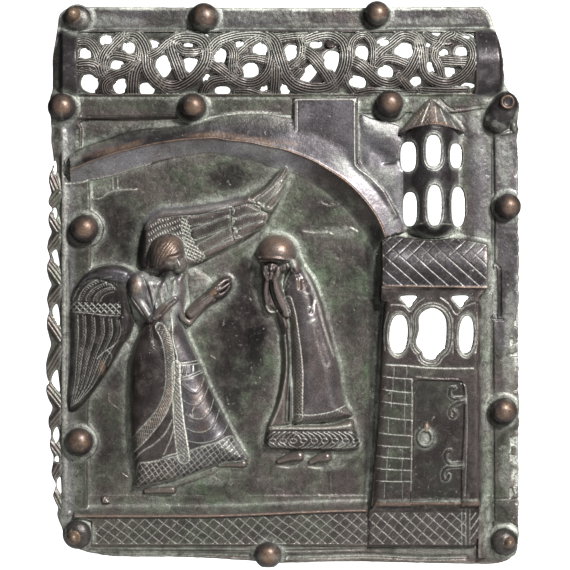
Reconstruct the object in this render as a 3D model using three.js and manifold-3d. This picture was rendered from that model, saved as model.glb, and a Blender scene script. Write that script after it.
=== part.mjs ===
// Relief plaque: one bronze casting. A rectangular sheet with raised edge flanges carries an openwork
// interlace bar across the top, an openwork zigzag bar down the left edge, nail-head bosses round the
// border, and a high relief: an arch on a pier, a tower with a round drum and a shingled lean-to roof, a
// winged figure and a veiled figure above a chequered base.
//
// Frame: millimetres, +Z up, +X to the right as seen from the front, the relief rises towards -Y.
// The flat back lies in the plane Y = 0 and the origin is in the middle of it.
// Sheet positions are written (u, v): u runs right and v runs down from the sheet's top left datum.
// Heights h are measured forward from the back.

import * as THREE from "three";
import { mergeVertices } from "three/addons/utils/BufferGeometryUtils.js";
import Module from "manifold-3d";

// ---- driving dimensions (mm) ----
const DATUM_U = 283; // the origin's distance from the left datum
const DATUM_V = 283; // the origin's distance below the top datum

const SHEET_H = 6; // front of the recessed picture field
const FLANGE_H = 9; // front of the raised edge flanges
const FLANGE_ROUND = 2; // rounding of the sheet's outer edge

const BAR = { left: 60, right: 504, top: 29, bottom: 97, crown: 29, wall: 4.5, hollowLeft: 80, hollowRight: 474 };
const EDGE_BAR = { top: 122, bottom: 512, outer: 46.4, holeU: 54.5, holeHalf: 2.6 };
// notches between the strap's outer bends, from the bottom up: height on the sheet and how deep each bites
const EDGE_NOTCHES = [[502, 8], [485, 8.5], [457, 6], [443, 2.7], [431, 3.5], [407, 5], [383, 2.5], [344, 3.5], [311, 2.2], [285, 4], [259, 2.6], [232, 4], [211, 5], [192, 4], [160, 6], [130, 4.5]];

const BOSS_R = 13.5; // nail-head bosses
const BOSS_H = 27;

const ARCH_RIDGE_H = 17.5; // the sharp ridge between the arch's face and its soffit
const PIER = { left: 294, right: 357, top: 98, h: 15 };
const SPANDREL_H = 12;

const DRUM = { left: 400, right: 466, top: 124, bottom: 236, crown: 31, wall: 4.5 };
const CONE = { u: 431, apexV: 98, eavesV: 131, h: 33 };
const TOWER = { left: 378, right: 478, leftFoot: 372, top: 288, bottom: 498, h: 21 };
const LEAN_TO = { left: 380, right: 487, top: 237, bottom: 289, hTop: 17, hEaves: 27 };
const DOOR = { left: 413, right: 463, top: 379, bottom: 488, sink: 2.4 };

const LEDGE_H = 18;
const BASE_H = 13;

// ---- manifold helpers ----
const wasm = await Module();
wasm.setup();
const { Manifold, Mesh } = wasm;

// a closed three.js geometry as a solid; a form that was mirrored while being shaped is turned faces out
const solid = (geometry) => {
  const g = geometry.clone();
  g.deleteAttribute("normal");
  g.deleteAttribute("uv");
  const m = mergeVertices(g, 1e-4);
  const position = m.attributes.position;
  const tri = [];
  let volume = 0;
  const [a, b, c] = [new THREE.Vector3(), new THREE.Vector3(), new THREE.Vector3()];
  for (let k = 0; k < m.index.count; k += 3) {
    const [i, j, l] = [m.index.getX(k), m.index.getX(k + 1), m.index.getX(k + 2)];
    if (i === j || j === l || l === i) continue; // a facet that closed up at a pole
    a.fromBufferAttribute(position, i);
    b.fromBufferAttribute(position, j);
    c.fromBufferAttribute(position, l);
    volume += a.dot(b.cross(c));
    tri.push(i, j, l);
  }
  if (volume < 0) for (let k = 0; k < tri.length; k += 3) [tri[k + 1], tri[k + 2]] = [tri[k + 2], tri[k + 1]];
  return new Manifold(
    new Mesh({ numProp: 3, vertProperties: new Float32Array(position.array), triVerts: new Uint32Array(tri) }),
  );
};

// ---- shape helpers ----
const at = (u, v) => new THREE.Vector2(u - DATUM_U, DATUM_V - v);

// a closed smooth outline through a few (u, v) stations
const outline = (stations, steps = 28, tension = 0.5) => {
  const curve = new THREE.CatmullRomCurve3(
    stations.map(([u, v]) => new THREE.Vector3(u - DATUM_U, DATUM_V - v, 0)),
    true,
    "catmullrom",
    tension,
  );
  return curve.getPoints(steps).slice(0, -1).map((p) => new THREE.Vector2(p.x, p.y));
};
const polygon = (stations) => stations.map(([u, v]) => at(u, v));

// a shape on the sheet, standing from height h0 to h1, its front edge rounded by r
const pad = (points, h0, h1, r = 0, segments = 2) => {
  const g = new THREE.ExtrudeGeometry(new THREE.Shape(points), {
    depth: Math.max(h1 - h0 - 2 * r, 0.01),
    steps: 1,
    bevelEnabled: r > 0,
    bevelThickness: r,
    bevelSize: r,
    bevelOffset: -r,
    bevelSegments: segments,
  });
  g.translate(0, 0, h0 + r);
  g.rotateX(Math.PI / 2);
  return solid(g);
};

// a full, rounded form: the outline closes in on its spine (from a to b) while it rises to h.
// The rings and poles are a lathe's, moved from the circle onto the outline.
const bulge = (points, h, a, b, { base = SHEET_H - 1, rings = 4, top = 0.25, power = 1 } = {}) => {
  const from = at(...a);
  const to = at(...b);
  const spine = to.clone().sub(from);
  const profile = [new THREE.Vector2(0, 1), new THREE.Vector2(1, 1), new THREE.Vector2(1, base)];
  for (let k = 1; k <= rings; k++) {
    const t = (k / rings) * (Math.PI / 2) * 0.92;
    profile.push(new THREE.Vector2(top + (1 - top) * Math.pow(Math.cos(t), power), base + (h - base) * Math.sin(t)));
  }
  profile.push(new THREE.Vector2(0, h));
  const n = points.length;
  const m = profile.length;
  const g = new THREE.LatheGeometry(profile, n);
  const p = g.attributes.position;
  for (let k = 0; k < p.count; k++) {
    const q = points[Math.floor(k / m) % n];
    const { x: s, y: height } = profile[k % m];
    const t = THREE.MathUtils.clamp(q.clone().sub(from).dot(spine) / spine.lengthSq(), 0, 1);
    const foot = s === 0 ? from.clone().lerp(to, 0.5) : from.clone().addScaledVector(spine, t);
    const r = foot.lerp(q, s);
    p.setXYZ(k, r.x, -height, r.y);
  }
  return solid(g);
};

// an ellipse-ended bar between two stations: arms, feet, scrolls
const limb = (u0, v0, u1, v1, r0, r1, h0, h1, sides = 8) => {
  const a = at(u0, v0);
  const b = at(u1, v1);
  const from = new THREE.Vector3(a.x, -h0, a.y);
  const to = new THREE.Vector3(b.x, -h1, b.y);
  const length = from.distanceTo(to);
  const profile = [];
  for (let i = 0; i <= 2; i++) {
    const t = (-Math.PI / 2) * (1 - i / 2);
    profile.push(new THREE.Vector2(Math.cos(t) * r0, Math.sin(t) * r0));
  }
  for (let i = 0; i <= 2; i++) {
    const t = (Math.PI / 2) * (i / 2);
    profile.push(new THREE.Vector2(Math.cos(t) * r1, length + Math.sin(t) * r1));
  }
  profile[0].x = 0;
  profile[profile.length - 1].x = 0;
  const g = new THREE.LatheGeometry(profile, sides);
  const q = new THREE.Quaternion().setFromUnitVectors(
    new THREE.Vector3(0, 1, 0),
    to.clone().sub(from).normalize(),
  );
  g.applyQuaternion(q);
  g.translate(from.x, from.y, from.z);
  return solid(g);
};

const ball = (u, v, h, ru, rv, rh, turn = 0, w = 12, hgt = 7) => {
  const g = new THREE.SphereGeometry(1, w, hgt);
  g.scale(ru, rh, rv);
  g.rotateY(turn);
  const p = at(u, v);
  g.translate(p.x, -h, p.y);
  return solid(g);
};

// a solid between stations of three rails (outer edge, ridge, inner edge), each with its own height:
// every bay is a prism from the back to the three heights, made by extruding its section and shearing it
const ridgeBay = (o0, r0, i0, o1, r1, i1, ho, hr, hi) => {
  const section = new THREE.Shape([
    new THREE.Vector2(0, 0.5),
    new THREE.Vector2(0, ho),
    new THREE.Vector2(1, hr),
    new THREE.Vector2(2, hi),
    new THREE.Vector2(2, 0.5),
    new THREE.Vector2(1, 0.5),
  ]);
  const g = new THREE.ExtrudeGeometry(section, { depth: 1, steps: 1, bevelEnabled: false });
  const rails = [
    [at(...o0), at(...o1)],
    [at(...r0), at(...r1)],
    [at(...i0), at(...i1)],
  ];
  const p = g.attributes.position;
  for (let k = 0; k < p.count; k++) {
    const rail = rails[Math.round(p.getX(k))];
    const q = rail[0].clone().lerp(rail[1], p.getZ(k));
    p.setXYZ(k, q.x, -p.getY(k), q.y);
  }
  return g;
};
const railed = (stations, ho, hr, hi) => {
  let body = null;
  for (let k = 0; k + 1 < stations.length; k++) {
    const [o0, r0, i0] = stations[k];
    const [o1, r1, i1] = stations[k + 1];
    const g = ridgeBay(o0, r0, i0, o1, r1, i1, ho, hr, hi);
    const bay = solid(g);
    body = body ? body.add(bay) : bay;
  }
  return body;
};
// ---- the sheet ----
const edgeSide = [];
EDGE_NOTCHES.forEach(([v, bite], k) => {
  edgeSide.push([EDGE_BAR.outer + bite, v]);
  if (k + 1 < EDGE_NOTCHES.length) {
    const [above, next] = EDGE_NOTCHES[k + 1];
    edgeSide.push([EDGE_BAR.outer + Math.max(0, Math.min(bite, next) - 4), (v + above) / 2]);
  }
});
const sheetOutline = outline(
  [
    [52, 95], [52, 62], [55, 40], [59, 17], [70, 8], [110, 7], [200, 7.5], [300, 7.5], [400, 7], [474, 6.5],
    [488, 9], [494, 28], [501, 48], [504, 74], [509, 90], [518, 101], [518, 120], [518.5, 180], [519, 260],
    [518.5, 340], [519, 430], [518, 500], [517, 546], [507, 559], [480, 563], [400, 562.5], [330, 562], [262, 561],
    [180, 557], [115, 556], [85, 551.5], [66, 540], [61, 524], [57.5, 514],
    ...edgeSide,
    [50.5, 112],
  ],
  118,
);
let body = pad(sheetOutline, 0, FLANGE_H, FLANGE_ROUND, 1);

// the picture field is sunk behind the flanges
const field = outline(
  [
    [84, 122], [180, 119], [290, 116], [400, 114], [484, 113], [491, 120], [492, 180], [492, 262], [497, 270], [497, 316],
    [491, 324], [491, 440], [492, 530], [478, 545], [380, 546], [240, 546], [104, 545], [92, 536], [88, 500], [88, 420],
    [90, 260], [89, 190], [82, 140],
  ],
  44,
  0.2,
);
body = body.subtract(pad(field, SHEET_H, FLANGE_H + 5));

// ---- the openwork bar across the top ----
const arcProfile = (top, bottom, crown, base, n) => {
  const pts = [];
  const mid = (top + bottom) / 2;
  const half = (bottom - top) / 2;
  for (let i = 0; i <= n; i++) {
    const a = (Math.PI * i) / n;
    const s = Math.sin(a);
    pts.push(new THREE.Vector2(DATUM_V - (mid - half * Math.cos(a)), base + (crown - base) * Math.pow(s, 0.8)));
  }
  return pts;
};
const barSolid = (left, right, pts) => {
  const g = new THREE.ExtrudeGeometry(new THREE.Shape(pts.map((p) => new THREE.Vector2(p.x, p.y))), {
    depth: right - left,
    steps: 1,
    bevelEnabled: false,
  });
  // the profile lies in (Z, height); the extrusion runs along X
  const p = g.attributes.position;
  for (let k = 0; k < p.count; k++) {
    const z = p.getX(k);
    const h = p.getY(k);
    const x = p.getZ(k);
    p.setXYZ(k, left - DATUM_U + x, -h, z);
  }
  return solid(g);
};
const outer = arcProfile(BAR.top, BAR.bottom, BAR.crown, FLANGE_H - 1, 8);
outer.push(new THREE.Vector2(outer[outer.length - 1].x, 1), new THREE.Vector2(outer[0].x, 1));
body = body.add(barSolid(BAR.left, BAR.right - 8, outer));
const inner = arcProfile(BAR.top + BAR.wall + 2, BAR.bottom - BAR.wall - 2, BAR.crown - BAR.wall, FLANGE_H - 3, 4);
inner.push(new THREE.Vector2(inner[inner.length - 1].x, -4), new THREE.Vector2(inner[0].x, -4));
body = body.subtract(barSolid(BAR.hollowLeft, BAR.hollowRight, inner));

// openings of the interlace: centre u, v, half width, half height, turn in degrees
const openings = [
  [87, 55, 6, 5.5, 0], [91, 83, 8, 6.5, 15], [108, 41, 6, 4.5, 10], [130, 49, 6, 7, 0], [117, 67, 6, 4.5, 0],
  [121, 87, 6.5, 5.5, -20], [147, 88, 6, 4.5, 0], [156, 46, 5, 3.2, 30], [165, 67, 7, 9, 0], [190, 67, 7.5, 6.5, 0],
  [188, 46, 4, 3.5, 0], [222, 90, 5.5, 2.8, 0], [220, 57, 5, 7.5, 20], [240, 45, 6, 3.5, 30], [262, 50, 7, 6, 20],
  [250, 72, 7.5, 7, 0], [284, 89, 5, 4.8, 0], [291, 54, 6, 7, 0], [309, 74, 5, 9.5, 38], [315, 44, 6, 3.8, -10],
  [331, 62, 8, 9, 10], [356, 83, 8, 5.5, 0], [362, 54, 5.5, 6.5, 0], [384, 43, 6, 4.2, 35], [404, 52, 9, 7.5, 10],
  [383, 73, 7.5, 6, 0], [414, 82, 5, 3.6, 20], [429, 68, 4, 7, 0], [442, 54, 4.5, 3.8, 0], [448, 73, 5, 6, 10],
  [461, 53, 4.6, 4.6, 0], [466, 37, 5.5, 3.2, -20],
];
const ellipse = (u, v, ru, rv, turn, n) => {
  const pts = [];
  for (let i = 0; i < n; i++) {
    const a = (2 * Math.PI * i) / n;
    const t = (-turn * Math.PI) / 180;
    const x = ru * Math.cos(a);
    const y = rv * Math.sin(a);
    pts.push(at(u + x * Math.cos(t) - y * Math.sin(t), v + x * Math.sin(t) + y * Math.cos(t)));
  }
  return pts;
};
for (const [u, v, ru, rv, turn] of openings) body = body.subtract(pad(ellipse(u, v, ru, rv, turn, ru + rv < 11.5 ? 6 : 8), -2, 60));

// ---- gaps of the zigzag bar down the left edge ----
for (const [v, half] of [[168, 6], [212, 5], [257, 8.5], [317, 9], [383, 9.5], [434, 7.5], [485, 7]]) {
  body = body.subtract(
    pad(polygon([[EDGE_BAR.holeU - 1.5, v - half * 0.6], [EDGE_BAR.holeU + EDGE_BAR.holeHalf + 0.5, v - half],
      [EDGE_BAR.holeU + EDGE_BAR.holeHalf + 1.5, v + half], [EDGE_BAR.holeU - 1.5, v + half * 0.7],
      [EDGE_BAR.holeU - EDGE_BAR.holeHalf, v]]), -2, 40),
  );
}

// ---- bosses ----
const bossProfile = (r, h) => {
  const pts = [new THREE.Vector2(0, 1), new THREE.Vector2(r, 1)];
  const n = 3;
  for (let i = 0; i <= n; i++) {
    const a = (Math.PI / 2) * (i / n);
    pts.push(new THREE.Vector2(r * Math.cos(a), FLANGE_H + 2 + (h - FLANGE_H - 2) * Math.sin(a)));
  }
  pts[pts.length - 1].x = 0;
  return pts;
};
const addBoss = (u, v, r = BOSS_R, h = BOSS_H) => {
  const g = new THREE.LatheGeometry(bossProfile(r, h), 12);
  g.rotateZ(Math.PI); // the lathe's axis, up, becomes the plaque's forward direction
  const p = at(u, v);
  g.translate(p.x, 0, p.y);
  body = body.add(solid(g));
};
for (const [u, v, r, h] of [
  [78, 18], [203, 18], [376, 15, 12.5], [62, 107], [193, 107], [390, 106], [87, 229], [79, 442], [76, 534],
  [268, 552, 12.5], [508, 207, 12], [504, 411], [504, 541, 13],
]) addBoss(u, v, r, h);
// worn nubs on two corner heads, and the long lug at the right end of the bar
addBoss(72, 13, 6.5, 30);
addBoss(74, 537, 6, 30);
addBoss(508, 541, 6, 30);
body = body.add(limb(502, 122, 508, 104, 15, 12, 8, 17, 12));
addBoss(508, 104, 7, 32);

// ---- the arch ----
const archStations = [
  [[68, 158], [66, 170], [68, 184]],
  [[84, 149], [90, 161], [100, 178]],
  [[110, 140], [120, 151], [130, 168]],
  [[145, 128], [150, 144], [155, 162]],
  [[185, 121], [180, 140], [182, 155]],
  [[230, 114], [215, 138], [210, 153]],
  [[272, 114], [252, 142], [240, 158]],
  [[300, 118], [285, 150], [268, 166]],
  [[330, 130], [312, 159], [298, 176]],
  [[350, 145], [335, 173], [318, 187]],
  [[364, 168], [355, 190], [340, 204]],
  [[384, 192], [372, 210], [358, 224]],
  [[398, 215], [382, 230], [372, 240]],
];
body = body.add(railed(archStations, SHEET_H + 4, ARCH_RIDGE_H, SHEET_H + 2.4));

// ---- pier and spandrel ----
body = body.add(pad(polygon([[PIER.left, PIER.top], [PIER.right, PIER.top], [PIER.right, 160], [386, 194], [398, 226],
  [384, 232], [372, 211], [355, 191], [335, 174], [312, 160], [PIER.left, 153]]), 1, PIER.h, 1.5, 1));
body = body.add(pad(outline([[352, 118], [400, 128], [470, 134], [489, 140], [489, 232], [480, 245], [392, 245], [372, 205], [354, 165]], 22), 1, SPANDREL_H, 2, 1));

// ---- tower drum with its cone roof ----
const drumShell = (left, right, top, bottom, crown, base, n) => {
  const pts = [];
  const mid = (left + right) / 2;
  const half = (right - left) / 2;
  for (let i = 0; i <= n; i++) {
    const a = (Math.PI * i) / n;
    pts.push(new THREE.Vector2(mid - half * Math.cos(a) - DATUM_U, base + (crown - base) * Math.sin(a)));
  }
  pts.push(new THREE.Vector2(right - DATUM_U, -4), new THREE.Vector2(left - DATUM_U, -4));
  const g = new THREE.ExtrudeGeometry(new THREE.Shape(pts), { depth: bottom - top, steps: 1, bevelEnabled: false });
  const p = g.attributes.position;
  for (let k = 0; k < p.count; k++) p.setXYZ(k, p.getX(k), -p.getY(k), DATUM_V - bottom + p.getZ(k));
  return solid(g);
};
const behind = pad(polygon([[20, -20], [560, -20], [560, 600], [20, 600]]), -60, 0);
body = body.add(drumShell(DRUM.left, DRUM.right, DRUM.top, DRUM.bottom - 8, DRUM.crown, SPANDREL_H - 1, 8).subtract(behind));
const cone = new THREE.ConeGeometry(36, CONE.eavesV - CONE.apexV, 12);
cone.rotateX(Math.PI / 2); // the cone's axis Y -> Z
cone.scale(1, 0.68, 1);
const conePlace = at(CONE.u, (CONE.eavesV + CONE.apexV) / 2);
cone.translate(conePlace.x, -9, conePlace.y);
body = body.add(solid(cone).subtract(behind));
// the drum's foot swells forward over the lean-to roof
body = body.add(ball((DRUM.left + DRUM.right) / 2 - 1, DRUM.bottom - 10, 8, 30, 14, 22, 0, 10, 5).subtract(behind));
body = body.subtract(drumShell(DRUM.left + DRUM.wall + 1, DRUM.right - DRUM.wall - 1, DRUM.top + 2, DRUM.bottom - 8, DRUM.crown - DRUM.wall, SPANDREL_H - 6, 5));

// ---- lean-to roof: curved, projecting most at the eaves ----
const roofProfile = [];
for (let i = 0; i <= 5; i++) {
  const t = i / 5;
  roofProfile.push(new THREE.Vector2(DATUM_V - (LEAN_TO.top + (LEAN_TO.bottom - LEAN_TO.top) * t),
    LEAN_TO.hTop + (LEAN_TO.hEaves - LEAN_TO.hTop) * Math.sin((Math.PI / 2) * t)));
}
roofProfile.push(new THREE.Vector2(DATUM_V - LEAN_TO.bottom - 2, LEAN_TO.hEaves - 3),
  new THREE.Vector2(DATUM_V - LEAN_TO.bottom - 7, TOWER.h - 3),
  new THREE.Vector2(DATUM_V - LEAN_TO.bottom - 7, 1), new THREE.Vector2(DATUM_V - LEAN_TO.top, 1));
body = body.add(barSolid(LEAN_TO.left, LEAN_TO.right, roofProfile));

// ---- tower body: rounded at its left side, with arcade, door, ring and scrolls ----
body = body.add(pad(polygon([[380, TOWER.top], [TOWER.right, TOWER.top], [TOWER.right, TOWER.bottom],
  [TOWER.leftFoot, TOWER.bottom], [377, 400]]), 1, TOWER.h - 1, 3.5, 2));
body = body.subtract(pad(outline([[DOOR.left, DOOR.top], [DOOR.right - 4, DOOR.top], [DOOR.right, DOOR.top + 5],
  [DOOR.right - 3, DOOR.bottom], [DOOR.left - 2, DOOR.bottom]], 16, 0.1), TOWER.h - 1 - DOOR.sink, TOWER.h + 6));
for (const v of [389, 412, 452, 475]) body = body.add(limb(462, v < 430 ? 400 : 464, 451, v, 2.4, 2.2, TOWER.h - 2.5, TOWER.h - 2.2, 6));
for (const [u, v] of [[451, 391], [452, 410], [450, 454], [447, 473]]) body = body.add(ball(u, v, TOWER.h - 3, 5, 5, 3.4, 0, 8, 5));
const ring = new THREE.TorusGeometry(8, 1.7, 5, 10);
ring.rotateX(Math.PI / 2);
const ringPlace = at(425, 435);
ring.translate(ringPlace.x, -(TOWER.h - 2.6), ringPlace.y);
body = body.add(solid(ring));
body = body.add(ball(426, 426, TOWER.h - 3, 2.8, 4.2, 5, 0, 10, 6));

// windows go right through: centre, half width, half height, arch share
const window = (u, v, a, b, n = 10) => {
  const pts = [];
  for (let i = 0; i < n; i++) {
    const t = (2 * Math.PI * (i + 0.5)) / n;
    const s = (x) => Math.sign(x) * Math.pow(Math.abs(x), 0.72);
    pts.push(at(u + a * s(Math.cos(t)), v + b * s(Math.sin(t))));
  }
  return pad(pts, -5, 60);
};
for (const [u, v, a, b] of [
  [408.5, 157.5, 7.5, 15], [432.5, 150, 7.5, 16.5], [455.5, 155, 6.5, 13],
  [409.5, 208, 7, 17], [434, 205, 7, 21], [458.5, 207, 7.5, 19.5],
  [398.5, 334, 9, 18.5], [466, 334.5, 7.5, 18],
]) body = body.subtract(window(u, v, a, b));
body = body.subtract(pad(outline([[432, 308], [443, 312], [447, 325], [445, 345], [439, 353], [431, 360], [423, 357], [419, 349],
  [416, 340], [418, 320], [423, 311]], 16, 0.4), -5, 60));
for (const u of [408.5, 459.5]) body = body.subtract(pad(polygon([[u - 8, 296], [u + 8, 296], [u + 4, 302], [u, 307.5], [u - 4, 303]]), -5, 60));

// ---- base: two chequered blocks with projecting ledges ----
const ledge = (left, right, vTop, vNose, vBottom) =>
  barSolid(left, right, [
    new THREE.Vector2(DATUM_V - vTop, SHEET_H - 1), new THREE.Vector2(DATUM_V - (vTop + vNose) / 2, LEDGE_H - 3),
    new THREE.Vector2(DATUM_V - vNose, LEDGE_H), new THREE.Vector2(DATUM_V - vNose - 3, LEDGE_H - 1),
    new THREE.Vector2(DATUM_V - vNose - 5, BASE_H), new THREE.Vector2(DATUM_V - vBottom + 1, BASE_H - 1),
    new THREE.Vector2(DATUM_V - vBottom, SHEET_H), new THREE.Vector2(DATUM_V - vBottom, 1), new THREE.Vector2(DATUM_V - vTop, 1),
  ]);
body = body.add(ledge(94, 368, 504, 514, 546));
body = body.add(ledge(TOWER.leftFoot - 2, 479, 497, 504, 546).add(pad(polygon([[366, 545], [372, 506], [480, 506], [480, 545]]), 1, BASE_H + 4, 2, 1)));
// small broken stub on the ledge
body = body.add(pad(polygon([[101, 496], [110, 496], [110, 504], [101, 504]]), 1, 13, 1, 1));

// ---- the winged figure ----
const wingUp = outline([[140, 262], [140, 240], [146, 221], [161, 210], [182, 207], [202, 205], [224, 201], [241, 197], [252, 193],
  [272, 178], [286, 166], [288, 178], [283, 196], [274, 212], [264, 226], [250, 237], [230, 248], [208, 260], [186, 270], [160, 272]], 28);
body = body.add(bulge(wingUp, 16, [160, 245], [276, 184], { rings: 2, top: 0.45 }));
const wingDown = outline([[72, 300], [82, 279], [100, 267], [122, 268], [138, 274], [132, 300], [130, 324], [124, 345], [110, 368],
  [94, 392], [76, 411], [69, 408], [68, 380], [70, 340]], 22);
body = body.add(bulge(wingDown, 16, [104, 298], [80, 392], { rings: 2, top: 0.45 }));
const robe = outline([[138, 318], [150, 300], [176, 296], [184, 312], [192, 342], [204, 372], [220, 404], [238, 436], [246, 455],
  [228, 464], [200, 472], [170, 480], [146, 486], [135, 484], [131, 455], [130, 410], [130, 360], [134, 332]], 25);
body = body.add(bulge(robe, 24, [160, 318], [184, 452], { rings: 3, top: 0.3 }));
const chest = outline([[128, 284], [140, 271], [158, 270], [178, 276], [186, 292], [180, 316], [160, 326], [142, 318], [131, 300]], 18);
body = body.add(bulge(chest, 23, [154, 284], [160, 308], { rings: 3, top: 0.3 }));
body = body.add(limb(134, 288, 148, 317, 8, 5, 15, 19)); // near arm
body = body.add(limb(152, 318, 170, 301, 4, 4, 22, 25, 8)); // near hand held to the breast
body = body.add(limb(182, 286, 192, 312, 8, 6.5, 14, 17)); // far arm
body = body.add(limb(192, 312, 213, 294, 6, 5, 17, 22));
body = body.add(limb(213, 293, 229, 281, 4.5, 3, 22, 23, 8));
body = body.add(ball(165, 251, 17, 18.5, 17, 17, 0.2, 12, 7)); // hair
body = body.add(ball(175, 263, 20, 10.5, 11, 12, 0, 12, 7)); // face
body = body.add(limb(163, 268, 166, 282, 8, 9, 14, 14)); // neck
body = body.add(limb(147, 492, 170, 491, 3.5, 4, 8, 9, 6)); // feet
body = body.add(limb(221, 465, 243, 464, 3.2, 3.6, 8, 9, 6));

// ---- the veiled figure ----
const cloak = outline([[262, 268], [272, 252], [292, 256], [306, 270], [318, 290], [327, 324], [338, 360], [342, 392], [351, 414],
  [320, 423], [294, 423], [282, 424], [270, 424], [282, 392], [287, 360], [282, 326], [268, 310], [264, 290]], 25);
body = body.add(bulge(cloak, 23, [284, 270], [312, 404], { rings: 3, top: 0.3 }));
const skirt = outline([[268, 422], [294, 420], [350, 418], [357, 434], [356, 450], [310, 451], [268, 449], [266, 436]], 20, 0.3);
body = body.add(bulge(skirt, 17, [280, 436], [344, 435], { rings: 3, top: 0.5 }));
body = body.add(ball(277, 251, 15, 20, 16.5, 17, 0, 12, 7)); // veil
body = body.add(ball(273, 266, 18, 10, 11, 12, 0, 12, 8)); // face
body = body.add(limb(270, 308, 272, 272, 5.5, 4, 16, 26, 8)); // far forearm and hand
body = body.add(limb(286, 310, 279, 270, 6, 4, 20, 27, 8)); // near forearm and hand
body = body.add(limb(282, 459, 298, 457, 4, 5, 9, 10, 6));
body = body.add(limb(312, 460, 325, 457, 4.5, 5, 9, 10, 6));

// everything stays in front of the wall plane
body = body.subtract(behind);

// ---- the mesh ----
const toGeometry = (m) => {
  const mesh = m.getMesh();
  const g = new THREE.BufferGeometry();
  g.setAttribute("position", new THREE.BufferAttribute(new Float32Array(mesh.vertProperties), 3));
  g.setIndex(new THREE.BufferAttribute(new Uint32Array(mesh.triVerts), 1));
  g.computeVertexNormals();
  return g;
};

const plaque = new THREE.Mesh(
  toGeometry(body),
  new THREE.MeshStandardMaterial({ color: 0x4a4742, roughness: 0.42, metalness: 0.9 }),
);
plaque.name = "plaque";

const group = new THREE.Group();
group.add(plaque);
export default group;
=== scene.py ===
"""The looks of the relief plaque: one cast bronze panel, built as a fine height relief over the CAD body.
Sheet positions are (u, v) in millimetres, u to the right and v down from the top left datum, as in the CAD part.
Heights are millimetres forward of the flat back. Everything is converted to the metre frame when meshed."""
import bpy
import math
import numpy as np
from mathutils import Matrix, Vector


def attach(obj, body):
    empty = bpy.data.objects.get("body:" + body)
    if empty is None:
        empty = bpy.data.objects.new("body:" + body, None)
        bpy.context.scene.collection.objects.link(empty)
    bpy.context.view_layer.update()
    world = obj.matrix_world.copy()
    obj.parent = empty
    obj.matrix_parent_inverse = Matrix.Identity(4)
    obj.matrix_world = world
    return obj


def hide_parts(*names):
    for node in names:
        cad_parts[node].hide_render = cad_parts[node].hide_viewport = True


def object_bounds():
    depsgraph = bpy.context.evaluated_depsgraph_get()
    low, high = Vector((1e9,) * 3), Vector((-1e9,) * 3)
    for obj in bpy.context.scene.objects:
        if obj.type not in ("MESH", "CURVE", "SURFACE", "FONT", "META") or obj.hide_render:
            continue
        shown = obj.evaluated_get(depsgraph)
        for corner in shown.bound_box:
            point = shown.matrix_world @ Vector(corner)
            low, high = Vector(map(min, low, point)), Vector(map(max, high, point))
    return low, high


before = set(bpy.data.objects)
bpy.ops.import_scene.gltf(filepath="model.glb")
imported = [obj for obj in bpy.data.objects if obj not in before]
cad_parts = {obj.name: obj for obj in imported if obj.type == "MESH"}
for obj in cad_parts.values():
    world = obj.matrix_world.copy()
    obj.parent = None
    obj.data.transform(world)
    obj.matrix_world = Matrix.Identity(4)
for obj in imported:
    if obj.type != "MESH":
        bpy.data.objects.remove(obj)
lo0, hi0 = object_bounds()

# ------------------------------------------------------------------ sizes (mm)
DU, DV = 283.0, 283.0
SHEET_H, FLANGE_H = 6.0, 9.0
BAR_TOP, BAR_BOTTOM, BAR_CROWN = 29.0, 97.0, 29.0
RIDGE_H, PIER_H, SPAN_H = 17.0, 13.0, 11.5
DRUM_H, TOWER_H = 30.0, 20.5
STEP = 0.56
TRIANGLES = 780000
LINE_CHALK = 0.72
F = np.float32

U0, U1, V0, V1 = 42.0, 523.0, -1.0, 567.0
ua = np.arange(U0, U1 + STEP / 2, STEP).astype(F)
va = np.arange(V0, V1 + STEP / 2, STEP).astype(F)
U, V = np.meshgrid(ua, va, indexing="ij")
NU, NV = U.shape
H = np.full(U.shape, SHEET_H, F)      # front height
M = np.full(U.shape, 50.0, F)         # signed distance inside the metal
CHALK_AND_HIGHLIGHT = np.zeros(U.shape, F)          # pale mineral deposit, and painted highlight on the crests of the bar's straps
WEAR_AND_HIGHLIGHT = np.zeros(U.shape, F)           # rubbed, coppery high points, and painted highlight on the bosses, heads, near shoulder and cone
GREEN = np.zeros(U.shape, F)          # green patina
DARK_AND_SHADE = np.zeros(U.shape, F)           # dark smooth skin, and painted shade on the robe's left side, at the neck and beside the tower wall
DUST_AND_HIGHLIGHT = np.zeros(U.shape, F)           # soft pale bloom, and painted highlight on the arch face, spandrel, wing edge and the span right of the drum
GROOVE_AND_SHADE = np.zeros(U.shape, F)         # black in the deep chased lines and corners, and painted shade and cast shadow beside the bosses, lug, wings, tower wall, steps and under the eave
PLAIN = np.zeros(U.shape, F)          # smooth violet-grey skin, free of green


# ------------------------------------------------------------------ field helpers
def win(u0, u1, v0, v1):
    i0 = max(int((u0 - U0) / STEP), 0)
    i1 = min(int((u1 - U0) / STEP) + 2, NU)
    j0 = max(int((v0 - V0) / STEP), 0)
    j1 = min(int((v1 - V0) / STEP) + 2, NV)
    return slice(i0, i1), slice(j0, j1)


def spline(pts, n=None, closed=False):
    p = np.asarray(pts, float)
    k = len(p)
    if k < 3 and not closed:
        return p
    spans = k if closed else k - 1
    per = max(3, int((n or spans * 6) / spans))
    out = []
    for s in range(spans):
        if closed:
            a, b, c, d = p[(s - 1) % k], p[s], p[(s + 1) % k], p[(s + 2) % k]
        else:
            a, b, c, d = p[max(s - 1, 0)], p[s], p[s + 1], p[min(s + 2, k - 1)]
        for t in np.arange(per) / per:
            out.append(0.5 * ((2 * b) + (c - a) * t + (2 * a - 5 * b + 4 * c - d) * t * t + (3 * b - a - 3 * c + d) * t ** 3))
    if not closed:
        out.append(p[-1])
    return np.array(out)


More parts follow.
